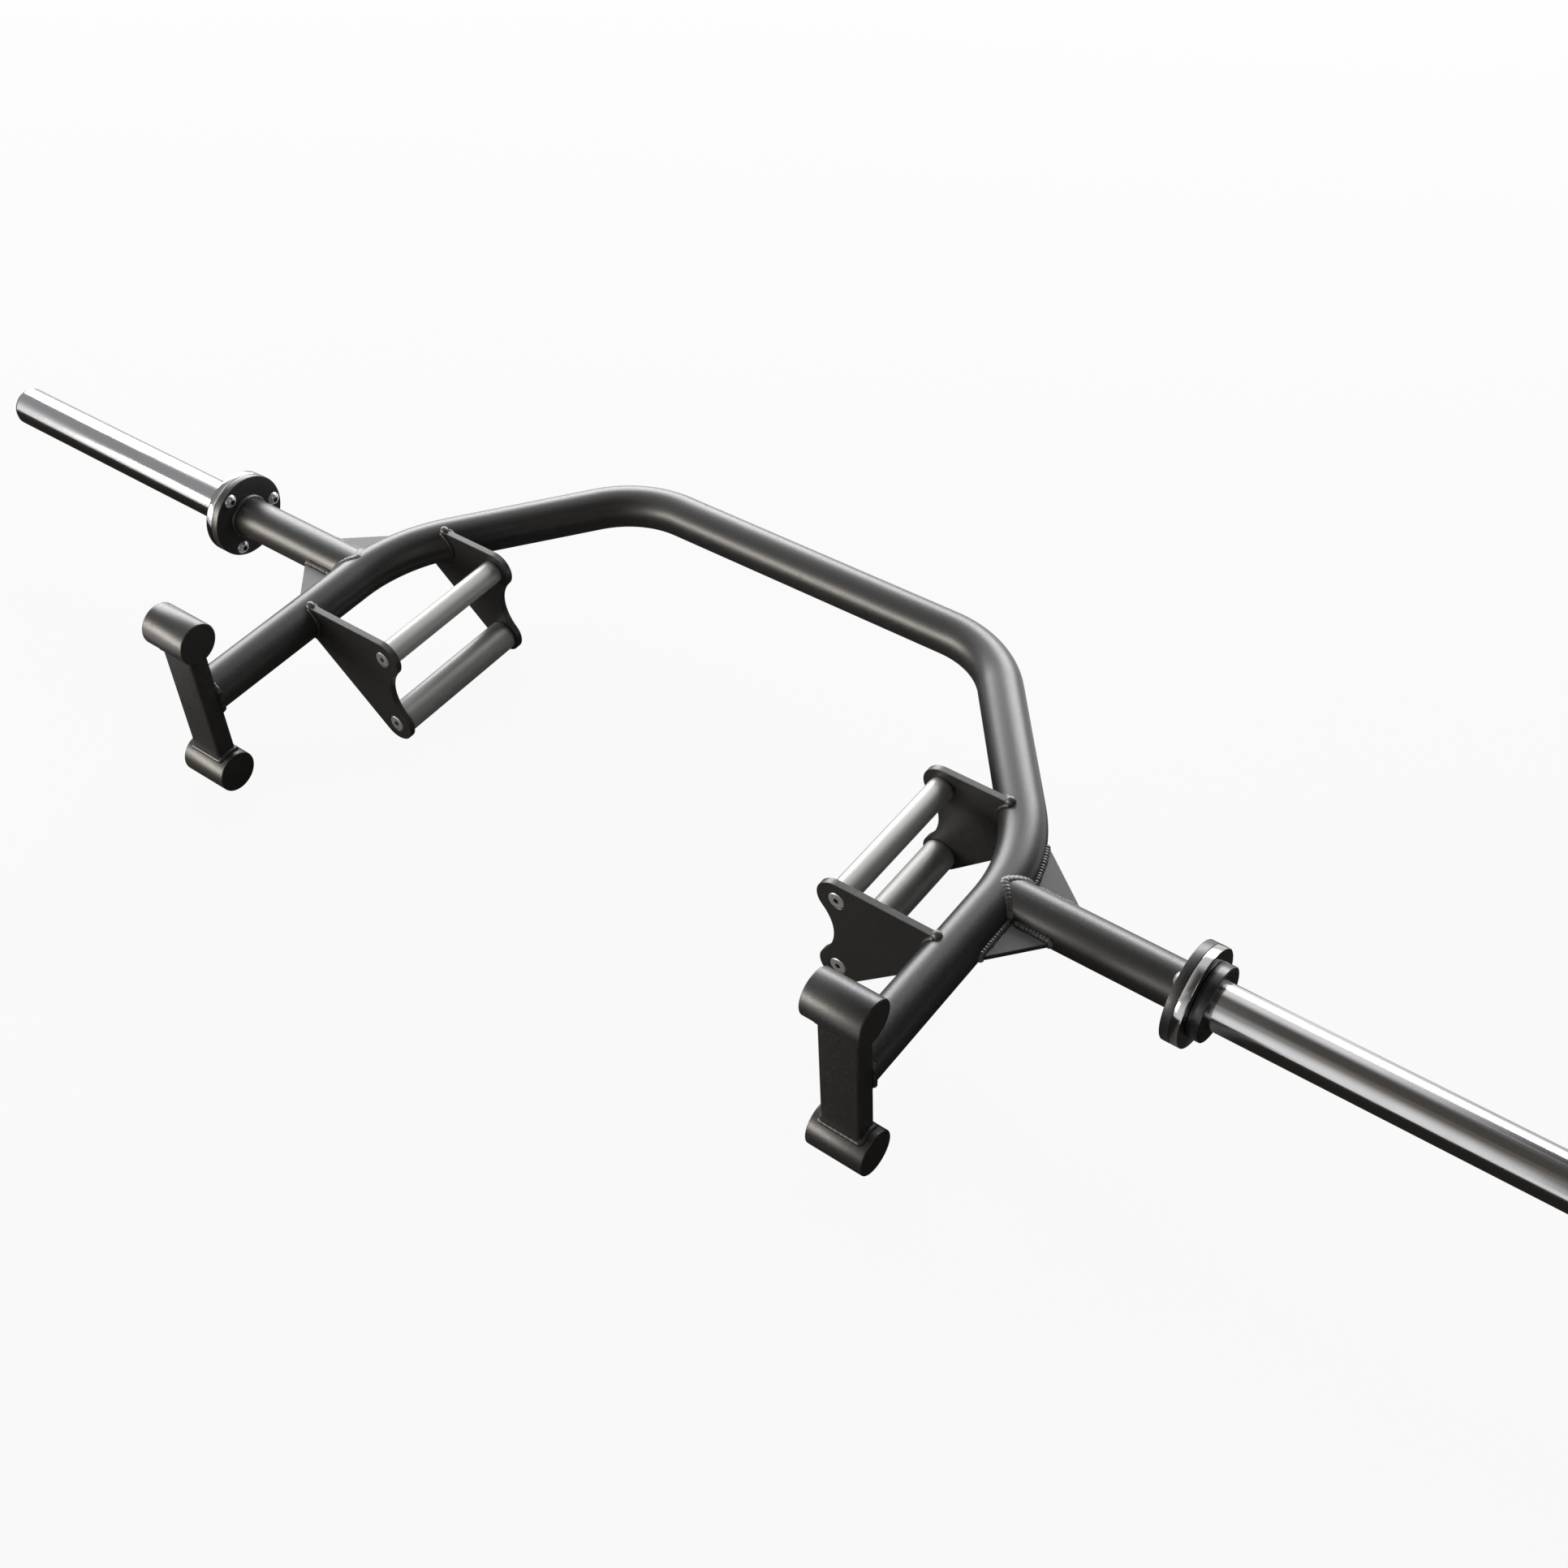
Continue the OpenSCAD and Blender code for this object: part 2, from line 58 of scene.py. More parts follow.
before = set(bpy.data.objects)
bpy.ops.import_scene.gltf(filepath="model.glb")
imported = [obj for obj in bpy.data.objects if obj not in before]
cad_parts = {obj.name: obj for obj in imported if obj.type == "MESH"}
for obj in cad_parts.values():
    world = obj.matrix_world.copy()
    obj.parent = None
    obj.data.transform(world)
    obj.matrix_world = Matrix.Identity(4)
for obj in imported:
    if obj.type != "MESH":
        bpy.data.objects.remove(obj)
CAD_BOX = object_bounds()

SIDES = {"right": 1, "left": -1}
LEVELS = {"upper": 1, "lower": -1}
PLACES = {"front": -1, "rear": 1}
X_AXIS = Vector((1, 0, 0))
Y_AXIS = Vector((0, 1, 0))
Z_AXIS = Vector((0, 0, 1))
ALONG_X = Matrix.Rotation(pi / 2, 4, "Y")

COAT = "Satin powder coat"
# Darker steel on the walls and floor of every screw socket: painted shade in the recess
SOCKET_PAINTED_SHADE = "Socket painted shade"

# Small lengths that no one would want to set, in metres
TOUCH = 1e-6  # points this close are one
SINK = 0.0008  # a coped end runs this far into the tube that it is welded to
GUSSET_SINK = 0.001  # and a gusset this far
SEAT_STEP = 0.0005  # a sleeve is turned down by this under its collar ring
FLANGE_BORE = 0.015  # radius of the hole through a flange
CAP_PLUG = 0.01  # reach of an end cap into its sleeve
SLEEVE_RIM = 0.0006  # rounding of a sleeve's chamfer
CAP_RIM = 0.0012  # rounding of an end cap
DISC_DEPTH = 0.003  # a foot's closing disc reaches this deep into its tube
DISC_INSET = 0.0001  # and stands this far back from the tube's end
GRIP_CHAMFER = 0.001  # chamfer of a grip's ends
SOCKET_RIM = 0.0004  # a head's top runs this far past the corners of its socket
HOLE_GAP = 0.0004  # gap round a countersunk head

# How finely round shapes are divided
TUBE_SEGMENTS = 80
BEND_STEPS = 20
COPE_STEPS = 24
TURNED_SEGMENTS = 128
CAP_SEGMENTS = 96
FOOT_SEGMENTS = 96
DISC_SEGMENTS = 64
HEAD_SEGMENTS = 24
DOME_STEPS = 8
HOLE_SEGMENTS = 48

# How the screws of a group are turned in their holes: the first, and from each to the next
FLANGE_SCREW_TWIST = (0.4, 1.1)
GRIP_SCREW_TWIST = (0.3, 0.7)

FACING = 0.99  # a face looks along a direction if its normal agrees this far


def low(node, axis):
    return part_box(node)[0][axis]


def high(node, axis):
    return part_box(node)[1][axis]


def middle(node, axis):
    return (low(node, axis) + high(node, axis)) / 2


def half(node, axis):
    return (high(node, axis) - low(node, axis)) / 2


def ends(node):
    """A part's two ends along the X axis, the inboard one first."""
    return sorted((low(node, 0), high(node, 0)), key=abs)


AXIS_Y = middle("right_sleeve", 1)
AXIS_Z = middle("right_sleeve", 2)
SLEEVE_AXIS = Vector((0, AXIS_Y, AXIS_Z))
POST_X = middle("right_foot_post", 0)
GRIP_X = middle("right_upper_grip", 0)


def length(name, description, default):
    return FloatProperty(name=name, description=description, default=default, min=0.0, unit="LENGTH")


def colour(name, description, default):
    return FloatVectorProperty(
        name=name, description=description, default=default, size=3, min=0.0, max=1.0, subtype="COLOR")


def share(name, description, default):
    return FloatProperty(
        name=name, description=description, default=default, min=0.0, max=1.0, subtype="FACTOR")


class BarSizes(PropertyGroup):
    tube_d: length("Frame tube", "Outside diameter of the bent frame tube", 0.0508)
    tube_wall: length("Frame tube wall", "Wall of the frame tube", 0.0032)
    side_bend_y: length("Side corner", "Sleeve axis to the corner where a side tube turns in", 0.054)
    back_bend_x: length("Back corner", "Middle to the corner where the back tube begins", 0.253)
    side_bend_r: length("Side bend", "Centreline radius of the bend after a side tube", 0.2)
    back_bend_r: length("Back bend", "Centreline radius of the bend before the back tube", 0.125)
    arm_d: length("Arm", "Outside diameter of an arm tube", 0.05)
    gusset_arm_leg: length("Gusset along arm", "Edge of a gusset along the arm", 0.045)
    gusset_tube_leg: length("Gusset along tube", "Edge of a gusset along the frame tube", 0.052)
    gusset_tip: length("Gusset tip", "Height of a gusset's blunt tips", 0.005)
    rim: length("Flange rim", "Chamfer on the rims of flanges and collar rings", 0.001)
    screw_circle: length("Screw circle", "Diameter of the circle that the flange screws stand on", 0.084)
    screw_count: IntProperty(
        name="Flange screws", description="Screws in each flange", default=3, min=3, max=6)
    button_d: length("Button head", "Diameter of a button head", 0.0175)
    socket_af: length("Socket", "Size across the flats of every screw socket", 0.006)
    socket_depth: length("Socket depth", "Depth of every screw socket", 0.0036)
    sleeve_wall: length("Sleeve wall", "Wall of a sleeve at its outer end", 0.006)
    sleeve_chamfer: length("Sleeve chamfer", "Chamfer at the outer end of a sleeve", 0.002)
    upper_lobe_r: length("Upper lobe", "Radius of a plate's corner round the upper grip", 0.024)
    lower_lobe_r: length("Lower lobe", "Radius of a plate's corner round the lower grip", 0.023)
    scallop_r: length("Scallop", "Radius of the hollow in a plate's edge between the grips", 0.053)
    plate_slope: FloatProperty(
        name="Plate slope", description="Slope of a plate's lower edge",
        default=radians(43), min=0.0, subtype="ANGLE")
    plate_top_stop: length("Plate top stop", "The top edge stops short of the tube's centre by this", 0.014)
    plate_hook: length("Plate hook", "Reach of the lower edge past the tube's centre", 0.015)
    plate_edge: length("Plate edge", "Chamfer on every edge of a flat plate", 0.0006)
    grip_band: length("Grip band", "Smooth band at each end of a grip's knurl", 0.004)
    tooth: length("Knurl tooth", "Width and length of a grip's diamond teeth", 0.0022)
    tooth_depth: length("Knurl depth", "Depth of the grooves between a grip's teeth", 0.0002)
    grip_screw_d: length("Grip screw", "Diameter of a countersunk grip screw", 0.01)
    grip_head_d: length("Grip screw head", "Diameter of a countersunk head", 0.02)
    post_corner: length("Post corner", "Outside corner radius of a foot post", 0.0035)
    foot_edge: length("Foot edge", "Rounding of a foot tube's ends", 0.0015)
    bead_r: length("Weld bead", "Radius of a weld bead", 0.0038)
    ripple: length("Weld ripple", "Distance from one ripple of a weld bead to the next", 0.0038)


class BarFinishes(PropertyGroup):
    coat: colour("Powder coat", "Colour of the frame's satin powder coat", (0.017, 0.0165, 0.016))
    coat_rough: share("Powder coat roughness", "Roughness of the frame's coat", 0.38)
    ring: colour("Ring coat", "Colour of the collar rings' smooth coat", (0.012, 0.012, 0.013))
    ring_rough: share("Ring coat roughness", "Roughness of the collar rings' coat", 0.3)
    chrome: colour("Chrome", "Colour of the sleeves' hard chrome", (0.66, 0.66, 0.67))
    chrome_rough: share("Chrome roughness", "Roughness of the sleeves' chrome", 0.13)
    grip: colour("Grip steel", "Colour of the knurled grips", (0.43, 0.43, 0.41))
    grip_rough: share("Grip roughness", "Roughness of the knurled grips", 0.46)
    screw: colour("Screw steel", "Colour of the plated screws", (0.62, 0.63, 0.64))
    bronze: colour("Bronze", "Colour of the bushes and washers", (0.55, 0.36, 0.16))
    plastic: colour("Cap plastic", "Colour of the sleeves' end caps", (0.015, 0.015, 0.016))


class StudioSettings(PropertyGroup):
    ground: colour("Floor", "Colour of the floor and the backdrop", (0.955, 0.955, 0.955))
    ambient: share("Ambient", "Strength of the world's light on the object", 0.12)
    card: colour("Card", "Brightness of the dark cards that only reflections see", (0.085, 0.076, 0.066))
    cool: colour("Back light", "Colour of the two soft lights behind the bar", (0.97, 0.98, 1.0))
    warm: colour("Front light", "Colour of the soft light in front of the bar", (1.0, 0.93, 0.84))


def between(begin, end, steps):
    """Evenly spaced values from begin to end."""
    return [begin + (end - begin) * index / steps for index in range(steps + 1)]


def round_trip(count, point_at):
    """A closed path: the points for evenly spaced angles of one full turn."""
    return [point_at(2 * pi * index / count) for index in range(count)]


def of_kind(kind, geom):
    return [item for item in geom if isinstance(item, kind)]


def open_edges(bm):
    return [edge for edge in bm.edges if edge.is_boundary]


def edges_at(verts):
    """The edges that meet in some points, each once and always in the same order."""
    return list(dict.fromkeys(edge for vert in verts for edge in vert.link_edges))


def circle(bm, segments, radius, matrix):
    """Draws a circle and returns its edges."""
    return edges_at(
        bmesh.ops.create_circle(bm, segments=segments, radius=radius, matrix=matrix)["verts"])


def extruded(bm, edges):
    """Extrudes a loop of edges on the spot; returns the new loop's points and edges, and the walls."""
    grown = bmesh.ops.extrude_edge_only(bm, edges=edges)["geom"]
    verts = of_kind(BMVert, grown)
    loop = [edge for edge in of_kind(BMEdge, grown) if all(vert in verts for vert in edge.verts)]
    return verts, loop, of_kind(BMFace, grown)


def weld_up(bm):
    """Merges doubles and turns every face of a closed shell outwards."""
    bmesh.ops.remove_doubles(bm, verts=bm.verts, dist=TOUCH)
    bmesh.ops.recalc_face_normals(bm, faces=bm.faces)


def joined(parts):
    """One bmesh that holds several."""
    bm = bmesh.new()
    for part in parts:
        spare = bpy.data.meshes.new("part")
        part.to_mesh(spare)
        part.free()
        bm.from_mesh(spare)
        bpy.data.meshes.remove(spare)
    return bm


def new_object(bm, name):
    mesh = bpy.data.meshes.new(name)
    bm.to_mesh(mesh)
    bm.free()
    made = bpy.data.objects.new(name, mesh)
    bpy.context.scene.collection.objects.link(made)
    return made


def add_piece(bm, name, nodes=(), material=COAT, body="frame", mirror=False, sharp=30):
    """Makes a piece from its bmesh, smooth but for sharp edges, with its material and body, and hides the CAD
    nodes that it replaces.

    A piece that was drawn on the right is mirrored for the left.
    """
    if mirror:
        bmesh.ops.scale(bm, vec=(-1, 1, 1), verts=bm.verts)
        bmesh.ops.reverse_faces(bm, faces=bm.faces)
    for face in bm.faces:
        face.smooth = True
    piece = new_object(bm, name)
    piece.data.set_sharp_from_angle(angle=radians(sharp))
    piece.data.materials.append(bpy.data.materials[material])
    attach(piece, body)
    if nodes:
        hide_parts(*nodes)
    return piece


def spun(bm, profile, centre, axis, radial, segments):
    """Spins a profile of (place along the axis, radius) points about an axis through centre."""
    chain = [bm.verts.new(centre + axis * profile[0][0] + radial * profile[0][1])]
    for along, radius in profile[1:]:
        step = bmesh.ops.extrude_vert_indiv(bm, verts=[chain[-1]])["verts"][0]
        step.co = centre + axis * along + radial * radius
        chain.append(step)
    bmesh.ops.spin(
        bm, geom=chain + edges_at(chain), cent=centre, axis=axis, angle=2 * pi,
        steps=segments, use_merge=True)
    weld_up(bm)


def turned(profile, centre, segments, rims=(), rounding=0.0):
    """A part turned about the X axis: its rims rounded, and an open bore closed by a wall."""
    bm = bmesh.new()
    spun(bm, profile, centre, X_AXIS, Z_AXIS, segments)

    def on_rim(vert, along, radius):
        local = vert.co - centre
        return abs(local.x - along) < TOUCH and abs(hypot(local.y, local.z) - radius) < TOUCH

    chosen = [
        edge for edge in bm.edges
        if any(all(on_rim(vert, *spot) for vert in edge.verts) for spot in rims)]
    if chosen:
        bmesh.ops.bevel(
            bm, geom=chosen, offset=rounding, segments=3, profile=0.5, affect="EDGES", material=-1)
    if open_edges(bm):
        bmesh.ops.bridge_loops(bm, edges=open_edges(bm))
        bmesh.ops.recalc_face_normals(bm, faces=bm.faces)
    return bm


def turned_ring(near, far, bore, radius, centre, segments, rounding):
    """A turned ring or tube whose two outer rims are rounded."""
    rims = [(near, radius), (far, radius)]
    return turned([(near, bore), *rims, (far, bore)], centre, segments, rims, rounding)


class Pen:
    """Draws an outline in the plane y = level by extruding one vertex after another."""

    def __init__(self, bm, x, level, z):
        self.bm = bm
        self.level = level
        self.first = self.last = bm.verts.new((x, level, z))

    def line(self, x, z):
        self.last = bmesh.ops.extrude_vert_indiv(self.bm, verts=[self.last])["verts"][0]
        self.last.co = (x, self.level, z)

    def arc(self, x, z, angle, step=radians(6)):
        """Turns the last point about (x, z); a positive angle runs from +X towards +Z."""
        count = max(1, ceil(abs(angle) / step))
        turn = Matrix.Rotation(-angle / count, 3, "Y")
        for _ in range(count):
            self.line(self.last.co.x, self.last.co.z)
            bmesh.ops.rotate(self.bm, verts=[self.last], cent=(x, self.level, z), matrix=turn)

    def close(self):
        self.bm.edges.new((self.last, self.first))


def thicken(bm, thickness, chamfer, direction):
    """Gives a flat filled outline its thickness along direction, with chamfered edges."""
    grown = bmesh.ops.extrude_face_region(bm, geom=list(bm.faces))["geom"]
    bmesh.ops.translate(bm, verts=of_kind(BMVert, grown), vec=direction * (thickness - 2 * chamfer))
    bmesh.ops.translate(bm, verts=bm.verts, vec=direction * chamfer)
    bmesh.ops.recalc_face_normals(bm, faces=bm.faces)
    for sign in (-1, 1):
        flat = [face for face in bm.faces if face.normal.dot(direction) * sign > FACING]
        bmesh.ops.inset_region(
            bm, faces=flat, thickness=chamfer, depth=chamfer, use_even_offset=True, use_boundary=True)


def sweep(bm, path, radii, segments):
    """Carries a ring along a path of points, with a radius for each, and closes both ends."""
    places = []
    turn = heading = None
    for index, point in enumerate(path):
        ahead = path[min(index + 1, len(path) - 1)] - path[max(index - 1, 0)]
        ahead.normalize()
        if turn is None:
            turn = ahead.to_track_quat("Z", "Y")
        else:
            turn = heading.rotation_difference(ahead) @ turn
        heading = ahead
        places.append(
            Matrix.Translation(point) @ turn.to_matrix().to_4x4() @ Matrix.Scale(radii[index], 4))
    edges = circle(bm, segments, 1, places[0])
    bmesh.ops.edgeloop_fill(bm, edges=edges)
    for before, after in zip(places, places[1:]):
        verts, edges, _ = extruded(bm, edges)
        bmesh.ops.transform(bm, matrix=after @ before.inverted(), verts=verts)
    bmesh.ops.edgeloop_fill(bm, edges=edges)


# Each kind of weld bead: share of the bead radius, share of the ripple, depth of the ripples,
# divisions round it, and the points of its path where that is closed
BEADS = {
    "arm": (1.8, 1.0, 0.05, 28, 72),
    "flange": (1.0, 1.0, 0.05, 10, 60),
    "gusset": (0.9, 1.0, 0.24, 10, None),
    "plate": (0.75, 1.0, 0.1, 10, None),
    "foot": (0.85, 1.6, 0.04, 10, 48),
    "tube end": (0.7, 1.6, 0.16, 10, 60),
}
# A bead's slow swelling: share of its depth, radians to the metre and phase of each wave
BEAD_DRIFT = ((0.25, 211, 0), (0.2, 547, 1))
BEAD_RINGS = 6  # rings to a ripple
LEAST_RINGS = 8
BEAD_TIP = 0.02  # keeps a bead's ends from closing to a point
LUMP = 1.5  # a lump's share of the bead radius


def bead(sizes, kind, corners, closed=False):
    """A weld bead of a kind along a path, tapered where it starts and stops."""
    thick, coarse, depth, segments, _ = BEADS[kind]
    radius = sizes.bead_r * thick
    ripple = sizes.ripple * coarse
    loop = list(corners)
    if closed:
        loop = loop + loop[:2]
    legs = [(b - a).length for a, b in zip(loop, loop[1:])]
    total = sum(legs)
    count = max(LEAST_RINGS, int(total / (ripple / BEAD_RINGS)))
    path = []
    radii = []
    leg = 0
    passed = 0.0
    for index in range(count + 1):
        along = total * index / count
        while leg < len(legs) - 1 and along > passed + legs[leg]:
            passed += legs[leg]
            leg += 1
        path.append(loop[leg].lerp(loop[leg + 1], (along - passed) / legs[leg]))
        wave = abs(sin(pi * along / ripple))
        drift = sum(part * sin(along * pace + phase) for part, pace, phase in BEAD_DRIFT)
        taper = 1.0 if closed else min(1.0, sqrt(min(along, total - along) / radius + BEAD_TIP))
        radii.append(radius * (1.0 + depth * (wave + drift - 0.5)) * taper)
    bm = bmesh.new()
    sweep(bm, path, radii, segments)
    return bm


def ring_bead(sizes, kind, point_at):
    """A bead that closes on itself, through the points for the angles of a full turn."""
    return bead(sizes, kind, round_trip(BEADS[kind][-1], point_at), closed=True)


class TubeRun:
    """The frame tube's centre line on the right-hand side, in the bar's own place."""

    def __init__(self, sizes):
        self.radius = sizes.tube_d / 2
        self.back_y = high("frame_tube", 1) - self.radius
        self.end_y = low("frame_tube", 1)
        self.side_r = sizes.side_bend_r
        corner_y = AXIS_Y + sizes.side_bend_y
        run = Vector((POST_X - sizes.back_bend_x, self.back_y - corner_y))
        self.side_turn = atan2(run.x, run.y)
        self.back_turn = pi / 2 - self.side_turn
        side_tangent = self.side_r * tan(self.side_turn / 2)
        back_tangent = sizes.back_bend_r * tan(self.back_turn / 2)
        self.slant = run.length - side_tangent - back_tangent
        self.bend_start = corner_y - side_tangent
        self.bend_centre = Vector((POST_X - self.side_r, self.bend_start, AXIS_Z))
        self.back_end = sizes.back_bend_x - back_tangent
        self.back_centre = Vector((self.back_end, self.back_y - sizes.back_bend_r, AXIS_Z))

    def outer_x(self, y, z, more=0.0):
        """The tube's outboard surface at a height, or a skin that stands more outside it."""
        return self.bent_x(y, sqrt(max((self.radius + more) ** 2 - (z - AXIS_Z) ** 2, 0.0)))

    def bent_x(self, y, reach=0.0):
        """A line beside the centre line, at a reach outboard of it."""
        if y <= self.bend_start:
            return POST_X + reach
        return self.bend_centre.x + sqrt((self.side_r + reach) ** 2 - (y - self.bend_start) ** 2)

    def slope(self, y):
        """Angle of the tube to the Y axis where a side tube has begun to turn in."""
        if y <= self.bend_start:
            return 0.0
        return atan2(y - self.bend_start, self.bent_x(y) - self.bend_centre.x)

    def around(self, y, angle, more=0.0):
        """A point of the tube's skin in the plane y; the angle runs from +X towards +Z."""
        radius = self.radius + more
        return Vector((
            self.bent_x(y) + radius * cos(angle) / cos(self.slope(y)), y, AXIS_Z + radius * sin(angle)))


class GripShape:
    """A grip's place, and the lattice of its diamond teeth."""

    def __init__(self, sizes, side, level):
        node = f"{side}_{level}_grip"
        self.centre = Vector((middle(node, 0), middle(node, 1), middle(node, 2)))
        self.radius = half(node, 2)
        self.half = half(node, 1)
        self.edge = self.half - sizes.grip_band
        self.teeth = round(2 * pi * self.radius / sizes.tooth)
        self.rows = 2 * round(self.edge / sizes.tooth)
        self.step = self.edge / self.rows


class FootShape:
    """Place and size of the right-hand post and its two foot tubes."""

    def __init__(self):
        self.y = middle("right_foot_post", 1)
        self.half_w = half("right_foot_post", 0)
        self.half_d = half("right_foot_post", 1)
        self.radius = half("right_upper_foot_tube", 2)
        self.half_len = half("right_upper_foot_tube", 0)
        self.bore = half("right_foot_end_discs", 1)
        self.rise = middle("right_upper_foot_tube", 2) - AXIS_Z

    def saddle(self, y):
        """Height over the bar's middle at which the post meets the upper foot tube."""
        return self.rise - sqrt(self.radius ** 2 - min(abs(y - self.y), self.radius) ** 2)


class Nodes:
    """A node tree, with short calls for what materials, groups and backdrop have in common."""

    def __init__(self, tree):
        self.tree = tree
        tree.nodes.clear()

    def feed(self, value, target):
        """Links a value that is a socket, and sets any other."""
        if isinstance(value, bpy.types.NodeSocket):
            self.tree.links.new(value, target)
        else:
            target.default_value = value

    def add(self, kind, inputs=None, **settings):
        node = self.tree.nodes.new(kind)
        for key, value in settings.items():
            setattr(node, key, value)
        for key, value in (inputs or {}).items():
            self.feed(value, node.inputs[key])
        return node

    def maths(self, operation, first, second=0.0):
        return self.add("ShaderNodeMath", {0: first, 1: second}, operation=operation).outputs[0]

    def mixed(self, first, second, part):
        """Adds two values in the shares part and 1 - part."""
        return self.maths(
            "ADD", self.maths("MULTIPLY", first, part), self.maths("MULTIPLY", second, 1 - part))

    def ranged(self, value, inputs, **settings):
        return self.add("ShaderNodeMapRange", {"Value": value, **inputs}, **settings).outputs["Result"]

    def noise(self, vector, scale, detail=2.0, roughness=0.5):
        return self.add("ShaderNodeTexNoise", {
            "Vector": vector, "Scale": scale, "Detail": detail, "Roughness": roughness}).outputs["Fac"]

    def looking(self):
        """1 for the rays that look at the backdrop, straight on or in metal or glass."""
        path = self.add("ShaderNodeLightPath").outputs
        seen = self.maths("MAXIMUM", path["Is Camera Ray"], path["Is Glossy Ray"])
        return self.maths("MAXIMUM", seen, path["Is Transmission Ray"])


def material_nodes(name):
    """A new material, and its empty node tree."""
    material = bpy.data.materials.new(name)
    material.use_nodes = True
    return material, Nodes(material.node_tree)


def group_nodes(name, numbers, outputs):
    """A new shader node group with a Vector and number inputs: its nodes, inputs and outputs."""
    made = Nodes(bpy.data.node_groups.new(name, "ShaderNodeTree"))
    interface = made.tree.interface
    interface.new_socket("Vector", in_out="INPUT", socket_type="NodeSocketVector")
    for title, default in numbers.items():
        interface.new_socket(title, in_out="INPUT", socket_type="NodeSocketFloat").default_value = default
    for title in outputs:
        interface.new_socket(title, in_out="OUTPUT", socket_type="NodeSocketFloat")
    return made, made.add("NodeGroupInput").outputs, made.add("NodeGroupOutput")


def speckle_group():
    """Powder coat: a fine orange peel, and a tone that varies in small specks and broad clouds."""
    made, given, result = group_nodes(
        "Powder speckle", {"Peel Scale": 900.0, "Speck Scale": 420.0}, ["Tone", "Height"])
    peel = made.noise(given["Vector"], given["Peel Scale"], detail=1.0)
    speck = made.noise(given["Vector"], given["Speck Scale"], detail=3.0, roughness=0.7)
    speck = made.ranged(speck, {"From Min": 0.3, "From Max": 0.7})
    cloud = made.noise(given["Vector"], scale=9.0)
    made.feed(made.mixed(speck, cloud, part=0.75), result.inputs["Tone"])
    made.feed(made.mixed(peel, speck, part=0.7), result.inputs["Height"])


def turning_group():
    """Turned and polished metal: hair-fine rings round the X axis, and faint handling smudges."""
    made, given, result = group_nodes("Turning marks", {"Ring Scale": 900.0}, ["Rings", "Smudge"])
    along = made.add(
        "ShaderNodeVectorMath", {0: given["Vector"], 1: (1.0, 0.02, 0.02)}, operation="MULTIPLY")
    rings = made.noise(along.outputs[0], given["Ring Scale"], roughness=0.6)
    smudge = made.noise(given["Vector"], scale=22.0, detail=4.0, roughness=0.6)
    made.feed(rings, result.inputs["Rings"])
    made.feed(made.ranged(smudge, {"From Min": 0.42, "From Max": 0.75}), result.inputs["Smudge"])


def knurl_group():
    """Diamond knurl round the Y axis of a grip whose centre is at the origin of Vector."""
    made, given, result = group_nodes(
        "Diamond knurl", {"Teeth": 40.0, "Pitch": 0.0022, "Half Length": 0.082}, ["Height", "Mask"])
    parts = made.add("ShaderNodeSeparateXYZ", {0: given["Vector"]}).outputs
    angle = made.maths("ARCTAN2", parts["X"], parts["Z"])
    round_way = made.maths("MULTIPLY", angle, made.maths("MULTIPLY", given["Teeth"], 0.5))
    long_way = made.maths("MULTIPLY", made.maths("DIVIDE", parts["Y"], given["Pitch"]), pi)
    left, right = (
        made.maths("ABSOLUTE", made.maths("SINE", made.maths(way, round_way, long_way)))
        for way in ("ADD", "SUBTRACT"))
    mask = made.maths("LESS_THAN", made.maths("ABSOLUTE", parts["Y"]), given["Half Length"])
    height = made.maths("MULTIPLY", made.maths("MINIMUM", left, right), mask)
    made.feed(height, result.inputs["Height"])
    made.feed(mask, result.inputs["Mask"])


def grain_group():
    """Cast, plated or moulded surface: one broad and one fine grain."""
    made, given, result = group_nodes("Fine grain", {"Grain Scale": 600.0}, ["Tone", "Height"])
    fine = made.noise(given["Vector"], given["Grain Scale"], detail=3.0)
    broad = made.noise(given["Vector"], scale=40.0)
    made.feed(made.mixed(fine, broad, part=0.6), result.inputs["Tone"])
    made.feed(fine, result.inputs["Height"])


def scaled(tint, factor):
    return tuple(channel * factor for channel in tint)


class Finish:
    """A material round one Principled shader, whose look a shared node group varies."""

    def __init__(self, name, group, **values):
        _, self.nodes = material_nodes(name)
        self.shader = self.nodes.add(
            "ShaderNodeBsdfPrincipled", {key.replace("_", " "): value for key, value in values.items()})
        self.nodes.add("ShaderNodeOutputMaterial", {"Surface": self.shader.outputs["BSDF"]})
        place = self.nodes.add("ShaderNodeTexCoord").outputs["Object"]
        self.group = self.nodes.add(
            "ShaderNodeGroup", {"Vector": place}, node_tree=bpy.data.node_groups[group])
        self.marks = self.group.outputs

    def tint(self, tone, dark, light):
        """Runs the base colour from dark to light along a tone."""
        ramp = {"Factor": self.marks[tone], "A": (*dark, 1), "B": (*light, 1)}
        mix = self.nodes.add("ShaderNodeMix", ramp, data_type="RGBA")
        self.nodes.feed(mix.outputs["Result"], self.shader.inputs["Base Color"])

    def rough(self, tone, least, most):
        result = self.nodes.ranged(self.marks[tone], {"To Min": least, "To Max": most})
        self.nodes.feed(result, self.shader.inputs["Roughness"])

    def bump(self, height, strength, distance=0.0001):
        bump = self.nodes.add(
            "ShaderNodeBump", {"Strength": strength, "Distance": distance, "Height": self.marks[height]})
        self.nodes.feed(bump.outputs["Normal"], self.shader.inputs["Normal"])


def coat_material(name, tint, rough, peel):
    made = Finish(name, "Powder speckle", Specular_IOR_Level=0.75)
    made.tint("Tone", scaled(tint, 0.55), scaled(tint, 1.45))
    made.rough("Tone", rough - 0.07, rough + 0.07)
    made.bump("Height", strength=peel, distance=0.0004)


